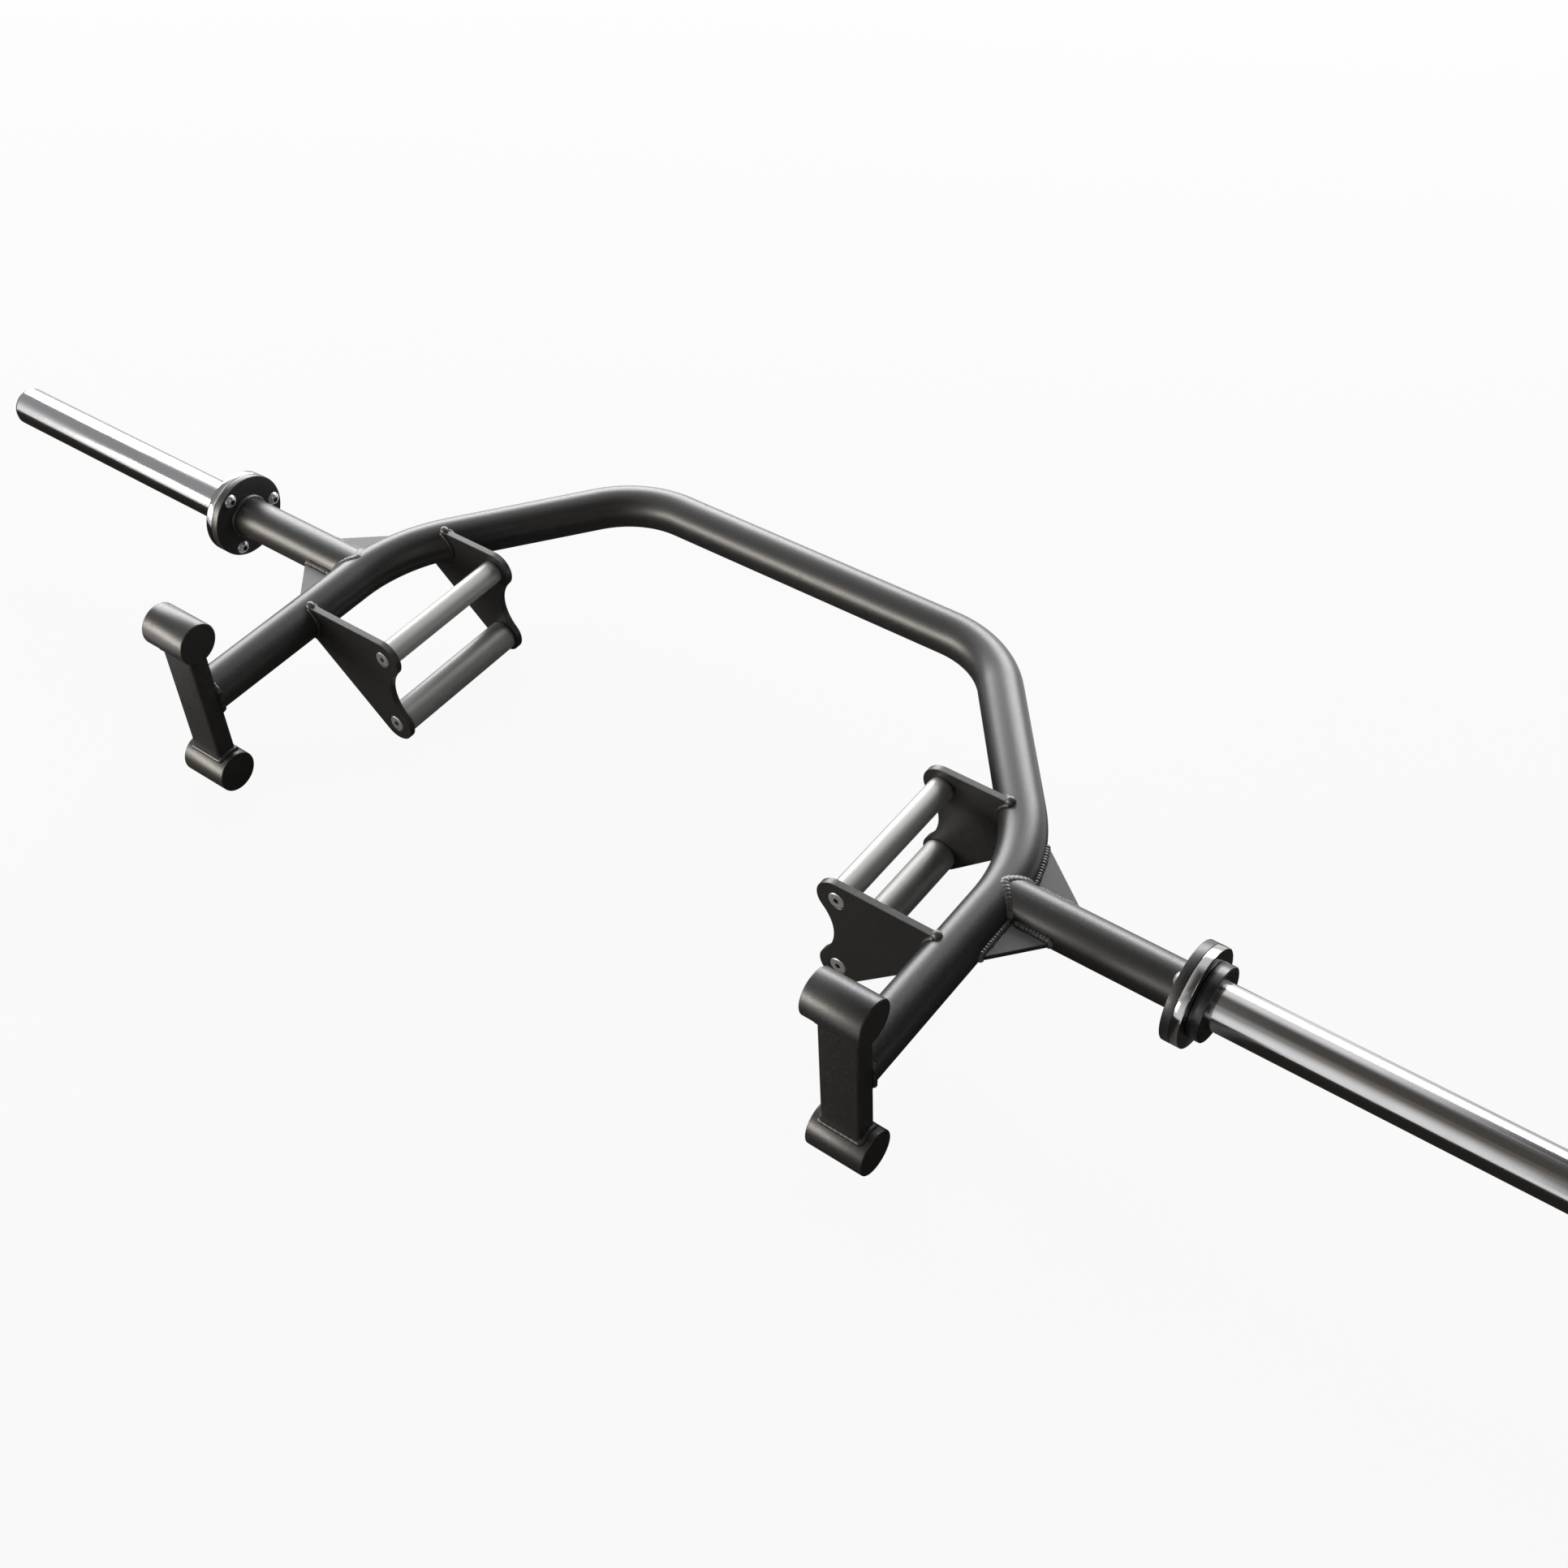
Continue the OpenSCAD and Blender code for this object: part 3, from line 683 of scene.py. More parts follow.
def chrome_material(name, tint, rough, ring_scale=900.0):
    made = Finish(name, "Turning marks", Metallic=1.0)
    made.group.inputs["Ring Scale"].default_value = ring_scale
    made.tint("Smudge", tint, scaled(tint, 0.9))
    made.rough("Smudge", rough, rough + 0.05)
    made.bump("Rings", strength=0.12)


def knurl_material(name, tint, rough, grip):
    made = Finish(name, "Diamond knurl", Metallic=0.6)
    inputs = made.group.inputs
    centred = made.nodes.add(
        "ShaderNodeMapping", {"Vector": inputs["Vector"].links[0].from_socket, "Location": -grip.centre},
        vector_type="POINT")
    made.nodes.feed(centred.outputs["Vector"], inputs["Vector"])
    inputs["Teeth"].default_value = grip.teeth
    inputs["Pitch"].default_value = 2 * grip.step
    inputs["Half Length"].default_value = grip.edge
    # The colour runs darker into the grooves between the teeth: painted shade
    made.tint("Height", scaled(tint, 0.7), scaled(tint, 1.1))
    made.rough("Mask", rough - 0.04, rough)
    made.bump("Height", strength=0.15)


def grained_material(name, tint, rough, metallic=1.0, scale=600.0):
    made = Finish(name, "Fine grain", Metallic=metallic)
    made.group.inputs["Grain Scale"].default_value = scale
    made.tint("Tone", scaled(tint, 0.8), scaled(tint, 1.15))
    made.rough("Tone", rough - 0.06, rough + 0.06)
    made.bump("Height", strength=0.3)


class BAR_OT_finishes(Operator):
    """Build the materials of the bar"""
    bl_idname = "bar.finishes"
    bl_label = "Finishes"

    def execute(self, context):
        look = context.scene.bar_finishes
        sizes = context.scene.bar_sizes
        for build_group in (speckle_group, turning_group, knurl_group, grain_group):
            build_group()
        coat_material(COAT, look.coat, look.coat_rough, peel=0.22)
        # Beads get a lighter copy of the powder coat: mostly painted highlight for the glints on their
        # ripples, partly a thinner coat over the weld
        coat_material("Weld coat with painted highlight", scaled(look.coat, 4.5), look.coat_rough, peel=0.2)
        coat_material("Smooth ring coat", look.ring, look.ring_rough, peel=0.08)
        chrome_material("Hard chrome", look.chrome, look.chrome_rough)
        # The chromed flanges get a darker copy of the sleeve chrome: painted shade in their reflections; the
        # finer turning rings are their own
        chrome_material("Chrome rim with painted shade", scaled(look.chrome, 0.8), rough=0.1, ring_scale=2500.0)
        chrome_material("Ground spindle", scaled(look.chrome, 0.85), rough=0.25, ring_scale=1500.0)
        for side in SIDES:
            # The lower grips get a darker copy of the same grip steel: painted shade
            for level, strength in (("upper", 1.0), ("lower", 0.8)):
                knurl_material(
                    f"Knurled {side} {level} grip", scaled(look.grip, strength), look.grip_rough,
                    GripShape(sizes, side, level))
        grained_material("Bright screw", look.screw, rough=0.2, metallic=0.6)
        grained_material("Zinc screw", scaled(look.screw, 0.6), rough=0.35, metallic=0.6)
        # A darker copy of the screw steel for the sockets: painted shade
        grained_material(SOCKET_PAINTED_SHADE, scaled(look.screw, 0.45), rough=0.3)
        grained_material("Plug steel", scaled(look.grip, 0.9), rough=0.4)
        grained_material("Sintered bronze", look.bronze, rough=0.45, scale=1500.0)
        grained_material("Spring steel", scaled(look.screw, 0.35), rough=0.4)
        grained_material("Cap plastic", look.plastic, rough=0.5, metallic=0.0, scale=900.0)
        return {"FINISHED"}


class BAR_OT_frame_tube(Operator):
    """Bend the frame tube: two side runs, two slanted runs and the back"""
    bl_idname = "bar.frame_tube"
    bl_label = "Frame Tube"

    def execute(self, context):
        sizes = context.scene.bar_sizes
        run = TubeRun(sizes)
        bm = bmesh.new()

        def straight(edges, vector):
            verts, loop, _ = extruded(bm, edges)
            bmesh.ops.translate(bm, verts=verts, vec=vector)
            return loop

        def bent(edges, centre, angle):
            verts = list(dict.fromkeys(vert for edge in edges for vert in edge.verts))
            made = bmesh.ops.spin(
                bm, geom=verts + edges, cent=centre, axis=Z_AXIS, angle=angle, steps=BEND_STEPS)
            return of_kind(BMEdge, made["geom_last"])

        edges = circle(
            bm, TUBE_SEGMENTS, run.radius, Matrix.Translation((0, run.back_y, AXIS_Z)) @ ALONG_X)
        edges = straight(edges, Vector((run.back_end, 0, 0)))
        edges = bent(edges, run.back_centre, -run.back_turn)
        edges = straight(edges, Vector((sin(run.side_turn), -cos(run.side_turn), 0)) * run.slant)
        edges = bent(edges, run.bend_centre, -run.side_turn)
        straight(edges, Vector((0, run.end_y - run.bend_start, 0)))
        bmesh.ops.mirror(
            bm, geom=list(bm.verts) + list(bm.edges) + list(bm.faces), matrix=Matrix(),
            merge_dist=TOUCH, axis="X")
        weld_up(bm)
        top = max(bm.faces, key=lambda face: face.calc_center_median().z)
        if top.normal.z < 0:
            bmesh.ops.reverse_faces(bm, faces=bm.faces)
        bmesh.ops.solidify(bm, geom=bm.faces, thickness=sizes.tube_wall)
        add_piece(bm, "bent_frame_tube", ["frame_tube"])
        return {"FINISHED"}


class BAR_OT_arms(Operator):
    """Cope the arm tubes to the frame tube"""
    bl_idname = "bar.arms"
    bl_label = "Arm Tubes"

    def execute(self, context):
        sizes = context.scene.bar_sizes
        run = TubeRun(sizes)
        outer = Matrix.Translation((high("right_arm_tube", 0), AXIS_Y, AXIS_Z))
        for side, sign in SIDES.items():
            bm = bmesh.new()
            bmesh.ops.create_circle(
                bm, segments=TUBE_SEGMENTS, radius=sizes.arm_d / 2, cap_ends=True, matrix=outer @ ALONG_X)
            grown = bmesh.ops.extrude_face_region(bm, geom=list(bm.faces))["geom"]
            for vert in of_kind(BMVert, grown):
                vert.co.x = run.outer_x(vert.co.y, vert.co.z, -SINK)
            bmesh.ops.recalc_face_normals(bm, faces=bm.faces)
            add_piece(bm, f"{side}_arm", [f"{side}_arm_tube"], mirror=sign < 0)
        return {"FINISHED"}


class BAR_OT_gussets(Operator):
    """Cut the flat gussets in the corners of arms and frame tube"""
    bl_idname = "bar.gussets"
    bl_label = "Gussets"

    def gusset(self, sizes, run, way):
        arm_r = sizes.arm_d / 2
        root_y = AXIS_Y + way * (arm_r - GUSSET_SINK)
        tip_x = POST_X + run.radius + sizes.gusset_arm_leg
        tip_y = AXIS_Y + way * (arm_r + sizes.gusset_tube_leg)
        halfway = (root_y + tip_y) / 2
        outline = [
            (run.outer_x(root_y, AXIS_Z, -GUSSET_SINK), root_y),
            (tip_x, root_y),
            (tip_x, AXIS_Y + way * (arm_r + sizes.gusset_tip)),
            (run.outer_x(tip_y, AXIS_Z) + sizes.gusset_tip, tip_y),
            (run.outer_x(tip_y, AXIS_Z, -GUSSET_SINK), tip_y),
            (run.outer_x(halfway, AXIS_Z, -GUSSET_SINK), halfway),
        ]
        bm = bmesh.new()
        bmesh.ops.contextual_create(
            bm, geom=[bm.verts.new((x, y, low("right_gussets", 2))) for x, y in outline])
        thicken(bm, 2 * half("right_gussets", 2), sizes.plate_edge, Z_AXIS)
        return bm

    def execute(self, context):
        sizes = context.scene.bar_sizes
        run = TubeRun(sizes)
        for side, sign in SIDES.items():
            pair = joined([self.gusset(sizes, run, way) for way in (-1, 1)])
            add_piece(pair, f"{side}_gusset_pair", [f"{side}_gussets"], mirror=sign < 0)
        return {"FINISHED"}


def plate_outline(bm, sizes, run, level):
    """Outline of a handle plate in the plane y = level, with its two screw holes."""
    centre = run.bent_x(level)
    squeeze = cos(run.slope(level))
    upper = Vector((GRIP_X, AXIS_Z))
    lower = Vector((GRIP_X, middle("right_lower_grip", 2)))
    drop = upper.y - lower.y
    reach_up = sizes.upper_lobe_r + sizes.scallop_r
    reach_low = sizes.lower_lobe_r + sizes.scallop_r
    scallop_z = -(drop ** 2 + reach_up ** 2 - reach_low ** 2) / (2 * drop)
    scallop = upper + Vector((-sqrt(reach_up ** 2 - scallop_z ** 2), scallop_z))
    to_upper = atan2(upper.y - scallop.y, upper.x - scallop.x)
    to_lower = atan2(lower.y - scallop.y, lower.x - scallop.x)
    slope = Vector((cos(sizes.plate_slope), sin(sizes.plate_slope)))
    heel = lower + sizes.lower_lobe_r * Vector((slope.y, -slope.x))
    hook_x = centre + sizes.plate_hook
    hook = Vector((hook_x, heel.y + (hook_x - heel.x) * tan(sizes.plate_slope)))
    skin = run.radius - SINK

    def bearing(point):
        """A point's angle round the frame tube."""
        return atan2(point.y - AXIS_Z, (point.x - centre) * squeeze)

    pen = Pen(bm, centre - sizes.plate_top_stop, level, AXIS_Z + sizes.upper_lobe_r)
    pen.line(GRIP_X, AXIS_Z + sizes.upper_lobe_r)
    pen.arc(upper.x, upper.y, pi / 2 + to_upper)
    pen.arc(scallop.x, scallop.y, to_lower - to_upper)
    pen.arc(lower.x, lower.y, pi / 2 + sizes.plate_slope - to_lower)
    if hypot((hook.x - centre) * squeeze, hook.y - AXIS_Z) > run.radius:
        pen.line(hook.x, hook.y)
        begin = bearing(hook)
    else:
        back = heel - Vector((centre, AXIS_Z))
        nearest = -back.dot(slope)
        off = (back + slope * nearest).length
        begin = bearing(heel + slope * (nearest - sqrt(skin ** 2 - off ** 2)))
    stop = sizes.plate_top_stop * squeeze
    end = pi - atan2(sqrt(skin ** 2 - stop ** 2), stop)
    for angle in between(begin + 2 * pi, end, COPE_STEPS):
        pen.line(centre + skin * cos(angle) / squeeze, AXIS_Z + skin * sin(angle))
    pen.close()
    for spot in (upper, lower):
        circle(bm, HOLE_SEGMENTS, sizes.grip_head_d / 2 + HOLE_GAP,
               Matrix.Translation((spot.x, level, spot.y)) @ Matrix.Rotation(pi / 2, 4, "X"))
    bmesh.ops.triangle_fill(bm, edges=bm.edges, use_beauty=True, normal=Y_AXIS)


class BAR_OT_handle_plates(Operator):
    """Cut the four handle plates and cope them to the frame tube"""
    bl_idname = "bar.handle_plates"
    bl_label = "Handle Plates"

    def execute(self, context):
        sizes = context.scene.bar_sizes
        run = TubeRun(sizes)
        for place in PLACES:
            near = low(f"right_{place}_handle_plate", 1)
            level = middle(f"right_{place}_handle_plate", 1)
            centre = run.bent_x(level)
            for side, sign in SIDES.items():
                bm = bmesh.new()
                plate_outline(bm, sizes, run, level)
                bmesh.ops.translate(bm, verts=bm.verts, vec=(0, near - level, 0))
                thicken(bm, 2 * (level - near), sizes.plate_edge, Y_AXIS)
                for vert in bm.verts:
                    across = (vert.co.x - centre) * cos(run.slope(level))
                    if hypot(across, vert.co.z - AXIS_Z) < run.radius:
                        vert.co.x += run.bent_x(vert.co.y) - centre
                add_piece(bm, f"{side}_{place}_plate", [f"{side}_{place}_handle_plate"], mirror=sign < 0)
        return {"FINISHED"}


class BAR_OT_grips(Operator):
    """Turn the upper and lower grips, and knurl them"""
    bl_idname = "bar.grips"
    bl_label = "Grips"

    def cut_teeth(self, bm, grip, shrink):
        """Sinks every other point of the knurl's lattice, and joins the sunk ones by grooves."""
        grooves = []
        for vert in bm.verts:
            local = vert.co - grip.centre
            if abs(local.y) > grip.edge + TOUCH:
                continue
            row = round(local.y / grip.step)
            column = round(atan2(local.x, local.z) * grip.teeth / pi)
            if abs(row) == grip.rows or (row + column) % 2 == 0:
                grooves.append(vert)
        bmesh.ops.scale(
            bm, vec=(shrink, 1, shrink), space=Matrix.Translation(-grip.centre), verts=grooves)
        bmesh.ops.connect_verts(bm, verts=grooves)

    def execute(self, context):
        sizes = context.scene.bar_sizes
        for side in SIDES:
            for level in LEVELS:
                grip = GripShape(sizes, side, level)
                band_r = grip.radius - sizes.tooth_depth
                end = [(grip.half, 0), (grip.half, band_r - GRIP_CHAMFER), (grip.half - GRIP_CHAMFER, band_r)]
                knurl = [(grip.step * row, grip.radius) for row in range(-grip.rows, grip.rows + 1)]
                bm = bmesh.new()
                spun(bm, [*((-y, r) for y, r in end), *knurl, *reversed(end)],
                     grip.centre, Y_AXIS, Z_AXIS, 2 * grip.teeth)
                self.cut_teeth(bm, grip, band_r / grip.radius)
                add_piece(bm, f"{side}_{level}_knurled_grip", [f"{side}_{level}_grip"],
                          f"Knurled {side} {level} grip")
        return {"FINISHED"}


def socket_corner(sizes):
    """Radius over the corners of a screw's hexagonal socket."""
    return sizes.socket_af / 2 / cos(pi / 6)


def screw_head(sizes, profile, matrix):
    """A head spun about local Z, whose open top is closed with a hexagonal socket."""
    bm = bmesh.new()
    spun(bm, profile, Vector(), Z_AXIS, X_AXIS, HEAD_SEGMENTS)
    opening = open_edges(bm)
    bmesh.ops.create_circle(
        bm, segments=6, radius=socket_corner(sizes), matrix=Matrix.Translation((0, 0, profile[-1][0])))
    hexagon = [edge for edge in bm.edges if edge.is_wire]
    bmesh.ops.subdivide_edges(bm, edges=hexagon, cuts=HEAD_SEGMENTS // len(hexagon) - 1)
    bmesh.ops.bridge_loops(bm, edges=opening + [edge for edge in bm.edges if edge.is_wire])
    verts, _, walls = extruded(bm, open_edges(bm))
    bmesh.ops.translate(bm, verts=verts, vec=(0, 0, -sizes.socket_depth))
    floor = bmesh.ops.edgeloop_fill(bm, edges=open_edges(bm))["faces"]
    # The socket's walls and floor take the second slot, the darker socket steel: painted shade
    for face in floor + walls:
        face.material_index = 1
    weld_up(bm)
    bmesh.ops.transform(bm, matrix=matrix, verts=bm.verts)
    return bm


def add_screws(heads, name, node, material, mirror):
    screws = add_piece(joined(heads), name, [node], material, mirror=mirror)
    # The second slot is the darker steel that paints shade into the sockets
    screws.data.materials.append(bpy.data.materials[SOCKET_PAINTED_SHADE])


class BAR_OT_flange_screws(Operator):
    """Turn the button-head screws and set them round the flanges"""
    bl_idname = "bar.flange_screws"
    bl_label = "Flange Screws"

    def execute(self, context):
        sizes = context.scene.bar_sizes
        seat = low("right_arm_flange", 0)
        height = seat - low("right_flange_screws", 0)
        head_r = sizes.button_d / 2
        dome_r = (height ** 2 + head_r ** 2) / (2 * height)
        top_r = socket_corner(sizes) + SOCKET_RIM
        widest = atan2(head_r, dome_r - height)
        least = atan2(top_r, sqrt(dome_r ** 2 - top_r ** 2))
        profile = [(0.0, 0.0)]
        for angle in between(widest, least, DOME_STEPS):
            profile.append((dome_r * cos(angle) - dome_r + height, dome_r * sin(angle)))
        first, step = FLANGE_SCREW_TWIST
        for side, sign in SIDES.items():
            heads = []
            for index in range(sizes.screw_count):
                angle = 2 * pi * index / sizes.screw_count
                out = Vector((0, cos(angle), sin(angle))) * (sizes.screw_circle / 2)
                twist = Matrix.Rotation(first + step * index, 4, "Z")
                place = Matrix.Translation(SLEEVE_AXIS + out + X_AXIS * seat)
                heads.append(screw_head(sizes, profile, place @ ALONG_X.inverted() @ twist))
            add_screws(heads, f"{side}_button_screws", f"{side}_flange_screws", "Bright screw",
                       sign < 0)
        return {"FINISHED"}


class BAR_OT_grip_screws(Operator):
    """Set the countersunk screws flush in the handle plates"""
    bl_idname = "bar.grip_screws"
    bl_label = "Grip Screws"

    def execute(self, context):
        sizes = context.scene.bar_sizes
        head_r = sizes.grip_head_d / 2
        shank_r = sizes.grip_screw_d / 2
        cone = head_r - shank_r
        profile = [(-cone, 0.0), (-cone, shank_r)]
        # The cone's edge is rounded: depth below the face, and how far inside the head's radius
        for depth, inset in ((0.0012, 0.0002), (0.0008, 0.0), (0.0, 0.0009)):
            profile.append((-depth, head_r - inset))
        profile.append((0.0, socket_corner(sizes) + SOCKET_RIM))
        first, step = GRIP_SCREW_TWIST
        for side, sign in SIDES.items():
            heads = []
            for level in LEVELS:
                for place, facing in PLACES.items():
                    node = f"right_{place}_handle_plate"
                    face_y = middle(node, 1) + facing * half(node, 1)
                    spot = Matrix.Translation((GRIP_X, face_y, middle(f"right_{level}_grip", 2)))
                    facing_out = Matrix.Rotation(-facing * pi / 2, 4, "X")
                    twist = Matrix.Rotation(step * len(heads) + first, 4, "Z")
                    heads.append(screw_head(sizes, profile, spot @ facing_out @ twist))
            add_screws(heads, f"{side}_countersunk_screws", f"{side}_grip_screws", "Zinc screw",
                       sign < 0)
        return {"FINISHED"}


class BAR_OT_feet(Operator):
    """Build the foot posts, foot tubes and their end discs"""
    bl_idname = "bar.feet"
    bl_label = "Feet"

    def post(self, foot, corner_r):
        """A post whose ends are cut to the round of the foot tubes."""
        bm = bmesh.new()
        section = [(-1, -1), (1, -1), (1, 1), (-1, 1)]
        verts = [
            bm.verts.new((POST_X + x * foot.half_w, foot.y + y * foot.half_d, AXIS_Z))
            for x, y in section]
        face = bmesh.ops.contextual_create(bm, geom=verts)["faces"][0]
        top = of_kind(BMVert, bmesh.ops.extrude_face_region(bm, geom=[face])["geom"])
        bmesh.ops.translate(bm, verts=top, vec=(0, 0, foot.rise))
        bottom = [vert for vert in bm.verts if vert not in top]
        bmesh.ops.translate(bm, verts=bottom, vec=(0, 0, -foot.rise))
        upright = [edge for edge in bm.edges if edge.calc_length() > foot.rise]
        bmesh.ops.bevel(
            bm, geom=upright, offset=corner_r, segments=5, profile=0.5, affect="EDGES", material=-1)
        bmesh.ops.recalc_face_normals(bm, faces=bm.faces)
        for vert in bm.verts:
            way = 1 if vert.co.z > AXIS_Z else -1
            vert.co.z = AXIS_Z + way * (foot.saddle(vert.co.y) + SINK)
        return bm

    def execute(self, context):
        sizes = context.scene.bar_sizes
        foot = FootShape()
        for side, sign in SIDES.items():
            post = self.post(foot, sizes.post_corner)
            add_piece(post, f"{side}_post", [f"{side}_foot_post"], mirror=sign < 0)
            centres = {
                level: Vector((sign * POST_X, foot.y, AXIS_Z + way * foot.rise))
                for level, way in LEVELS.items()}
            for level, centre in centres.items():
                tube = turned_ring(
                    -foot.half_len, foot.half_len, foot.bore, foot.radius, centre, FOOT_SEGMENTS,
                    sizes.foot_edge)
                add_piece(tube, f"{side}_{level}_foot", [f"{side}_{level}_foot_tube"])
            discs = []
            for level in ("lower", "upper"):
                for end in (-1, 1):
                    inner = end * (foot.half_len - DISC_DEPTH)
                    outer = end * (foot.half_len - DISC_INSET)
                    discs.append(turned(
                        [(inner, 0), (inner, foot.bore), (outer, foot.bore), (outer, 0)],
                        centres[level], DISC_SEGMENTS))
            add_piece(joined(discs), f"{side}_foot_closing_discs", [f"{side}_foot_end_discs"])
        return {"FINISHED"}


class BAR_OT_flanges(Operator):
    """Turn the welded and the chromed flanges"""
    bl_idname = "bar.flanges"
    bl_label = "Flanges"

    def execute(self, context):
        sizes = context.scene.bar_sizes
        for side in SIDES:
            # The chromed flange takes the darker copy of the chrome, which is painted shade
            for kind, name, material, slot in (
                    ("arm_flange", "welded_flange", COAT, "frame_coat"),
                    ("spindle_flange", "chromed_flange", "Chrome rim with painted shade", "sleeve_chrome")):
                node = f"{side}_{kind}"
                flange = turned_ring(
                    low(node, 0), high(node, 0), FLANGE_BORE, half(node, 2), SLEEVE_AXIS,
                    TURNED_SEGMENTS, sizes.rim)
                add_piece(flange, f"{side}_{name}", [node], material)
        return {"FINISHED"}


class BAR_OT_sleeves(Operator):
    """Turn the sleeves, their collar rings and end caps"""
    bl_idname = "bar.sleeves"
    bl_label = "Sleeves"

    def execute(self, context):
        sizes = context.scene.bar_sizes
        for side, sign in SIDES.items():
            inner, outer = ends(f"{side}_sleeve")
            ring_in, ring_out = ends(f"{side}_collar_ring")
            cap_in = outer - sign * CAP_PLUG
            cap_out = ends(f"{side}_end_cap")[1]
            radius = half(f"{side}_sleeve", 2)
            seat_r = radius - SEAT_STEP
            bore = radius - sizes.sleeve_wall
            tip = (outer - sign * sizes.sleeve_chamfer, radius)
            tip_r = radius - sizes.sleeve_chamfer
            sleeve = turned([
                (inner, bore), (inner, seat_r), (ring_out, seat_r), (ring_out, radius), tip,
                (outer, tip_r), (outer, bore)], SLEEVE_AXIS, TURNED_SEGMENTS, [tip], SLEEVE_RIM)
            ring = turned_ring(
                ring_in, ring_out, seat_r, half(f"{side}_collar_ring", 2), SLEEVE_AXIS,
                TURNED_SEGMENTS, sizes.rim)
            cap = turned([
                (cap_in, 0), (cap_in, bore), (outer, bore), (outer, tip_r), (cap_out, tip_r), (cap_out, 0)],
                SLEEVE_AXIS, CAP_SEGMENTS, [(cap_out, tip_r)], CAP_RIM)
            for bm, name, node, material, slot in (
                    (sleeve, "plate_sleeve", "sleeve", "Hard chrome", "sleeve_chrome"),
                    (ring, "stop_ring", "collar_ring", "Smooth ring coat", "collar_coat"),
                    (cap, "closing_cap", "end_cap", "Cap plastic", "cap_plastic")):
                add_piece(bm, f"{side}_{name}", [f"{side}_{node}"], material, f"{side}_turning_sleeve")
        return {"FINISHED"}


class BAR_OT_welds(Operator):
    """Lay the weld beads that join the frame"""
    bl_idname = "bar.welds"
    bl_label = "Weld Beads"

    def arm_bead(self, sizes, run):
        """Bead round an arm, sunk so that it stands proud by a little, least on top and below."""
        radius = sizes.bead_r * BEADS["arm"][0]
        sunk, more_on_top = 0.37, 0.36  # shares of the radius

        def point_at(angle):
            out = Vector((0, cos(angle), sin(angle)))
            point = SLEEVE_AXIS + out * sizes.arm_d / 2
            point.x = run.outer_x(point.y, point.z) - radius * sunk * abs(cos(angle))
            return point - out * radius * (sunk + more_on_top * abs(sin(angle)))

        return ring_bead(sizes, "arm", point_at)

    def gusset_beads(self, sizes, run, way):
        """The two beads of a gusset: round its edge along the arm, and along the frame tube."""
        proud, off_arm, off_tube, past_tip, blunt = 0.0004, 0.0005, 0.004, 0.001, 0.002
        deep = half("right_gussets", 2) + proud
        arm_y = AXIS_Y + way * (sizes.arm_d / 2 + off_arm)
        corner_x = run.outer_x(arm_y, AXIS_Z) + off_tube
        tip_x = POST_X + run.radius + sizes.gusset_arm_leg + past_tip
        tip_y = AXIS_Y + way * (sizes.arm_d / 2 + sizes.gusset_tube_leg + past_tip)
        along_arm = [(corner_x, deep), (tip_x - blunt, deep), (tip_x, deep - blunt)]
        along_arm += [(x, -z) for x, z in reversed(along_arm)]
        along_tube = [
            Vector((run.outer_x(y, AXIS_Z + deep, proud), y, AXIS_Z + deep))
            for y in between(arm_y, tip_y, 8)]
        along_tube += [Vector((spot.x, spot.y, 2 * AXIS_Z - spot.z)) for spot in reversed(along_tube)]
        return [
            bead(sizes, "gusset", [Vector((x, arm_y, AXIS_Z + z)) for x, z in along_arm]),
            bead(sizes, "gusset", along_tube)]

    def plate_welds(self, sizes, run, place):
        """The fillet round a handle plate's edge on the frame tube, and the lump at its tip."""
        node = f"right_{place}_handle_plate"
        lift, steps, past_top = 0.0006, 15, 0.08
        below, top = radians(-125), radians(-236)
        tip = run.around(middle(node, 1), top - past_top, 2 * lift)
        path = [run.around(low(node, 1) - lift, angle, lift) for angle in between(below, top, steps)]
        path.append(tip)
        path += [run.around(high(node, 1) + lift, angle, lift) for angle in between(top, below, steps)]
        lump = bmesh.new()
        bmesh.ops.create_icosphere(
            lump, subdivisions=3, radius=sizes.bead_r * LUMP, matrix=Matrix.Translation(tip))
        return bead(sizes, "plate", path), lump

    def post_fillets(self, sizes, run):
        """The fillets of a post: at both foot tubes, and at the frame tube's end."""
        foot = FootShape()
        sunk, proud = 0.0006, 0.0008
        tube_r = run.radius + proud

        def at_foot(angle, way):
            reach = max(abs(cos(angle)), abs(sin(angle)))
            y = foot.y + foot.half_d * sin(angle) / reach
            return Vector((
                POST_X + foot.half_w * cos(angle) / reach, y, AXIS_Z + way * (foot.saddle(y) - sunk)))

        def at_tube(angle):
            across = max(-foot.half_w, min(foot.half_w, tube_r * cos(angle)))
            return Vector((POST_X + across, run.end_y + proud, AXIS_Z + tube_r * sin(angle)))

        return [
            *(ring_bead(sizes, "foot", lambda angle: at_foot(angle, way)) for way in (-1, 1)),
            ring_bead(sizes, "tube end", at_tube)]

    def execute(self, context):
        sizes = context.scene.bar_sizes
        run = TubeRun(sizes)
        flange_x = low("right_arm_flange", 0)

        def at_flange(angle):
            return Vector((
                flange_x, AXIS_Y + sizes.arm_d / 2 * cos(angle), AXIS_Z + sizes.arm_d / 2 * sin(angle)))

        for side, sign in SIDES.items():
            plate_fillets, lumps = zip(*(self.plate_welds(sizes, run, place) for place in PLACES))
            beads = [
                self.arm_bead(sizes, run), *self.gusset_beads(sizes, run, -1),
                *self.gusset_beads(sizes, run, 1), *lumps]
            fillets = [
                ring_bead(sizes, "flange", at_flange), *plate_fillets, *self.post_fillets(sizes, run)]
            # The beads take the lighter weld coat, whose extra lightness is painted highlight; the fillets
            # keep the plain coat
            for name, parts, material in (
                    ("weld_beads", beads, "Weld coat with painted highlight"), ("weld_fillets", fillets, COAT)):
                bm = joined(parts)
                bmesh.ops.recalc_face_normals(bm, faces=bm.faces)
                add_piece(bm, f"{side}_{name}", material=material, mirror=sign < 0, sharp=60)
        return {"FINISHED"}


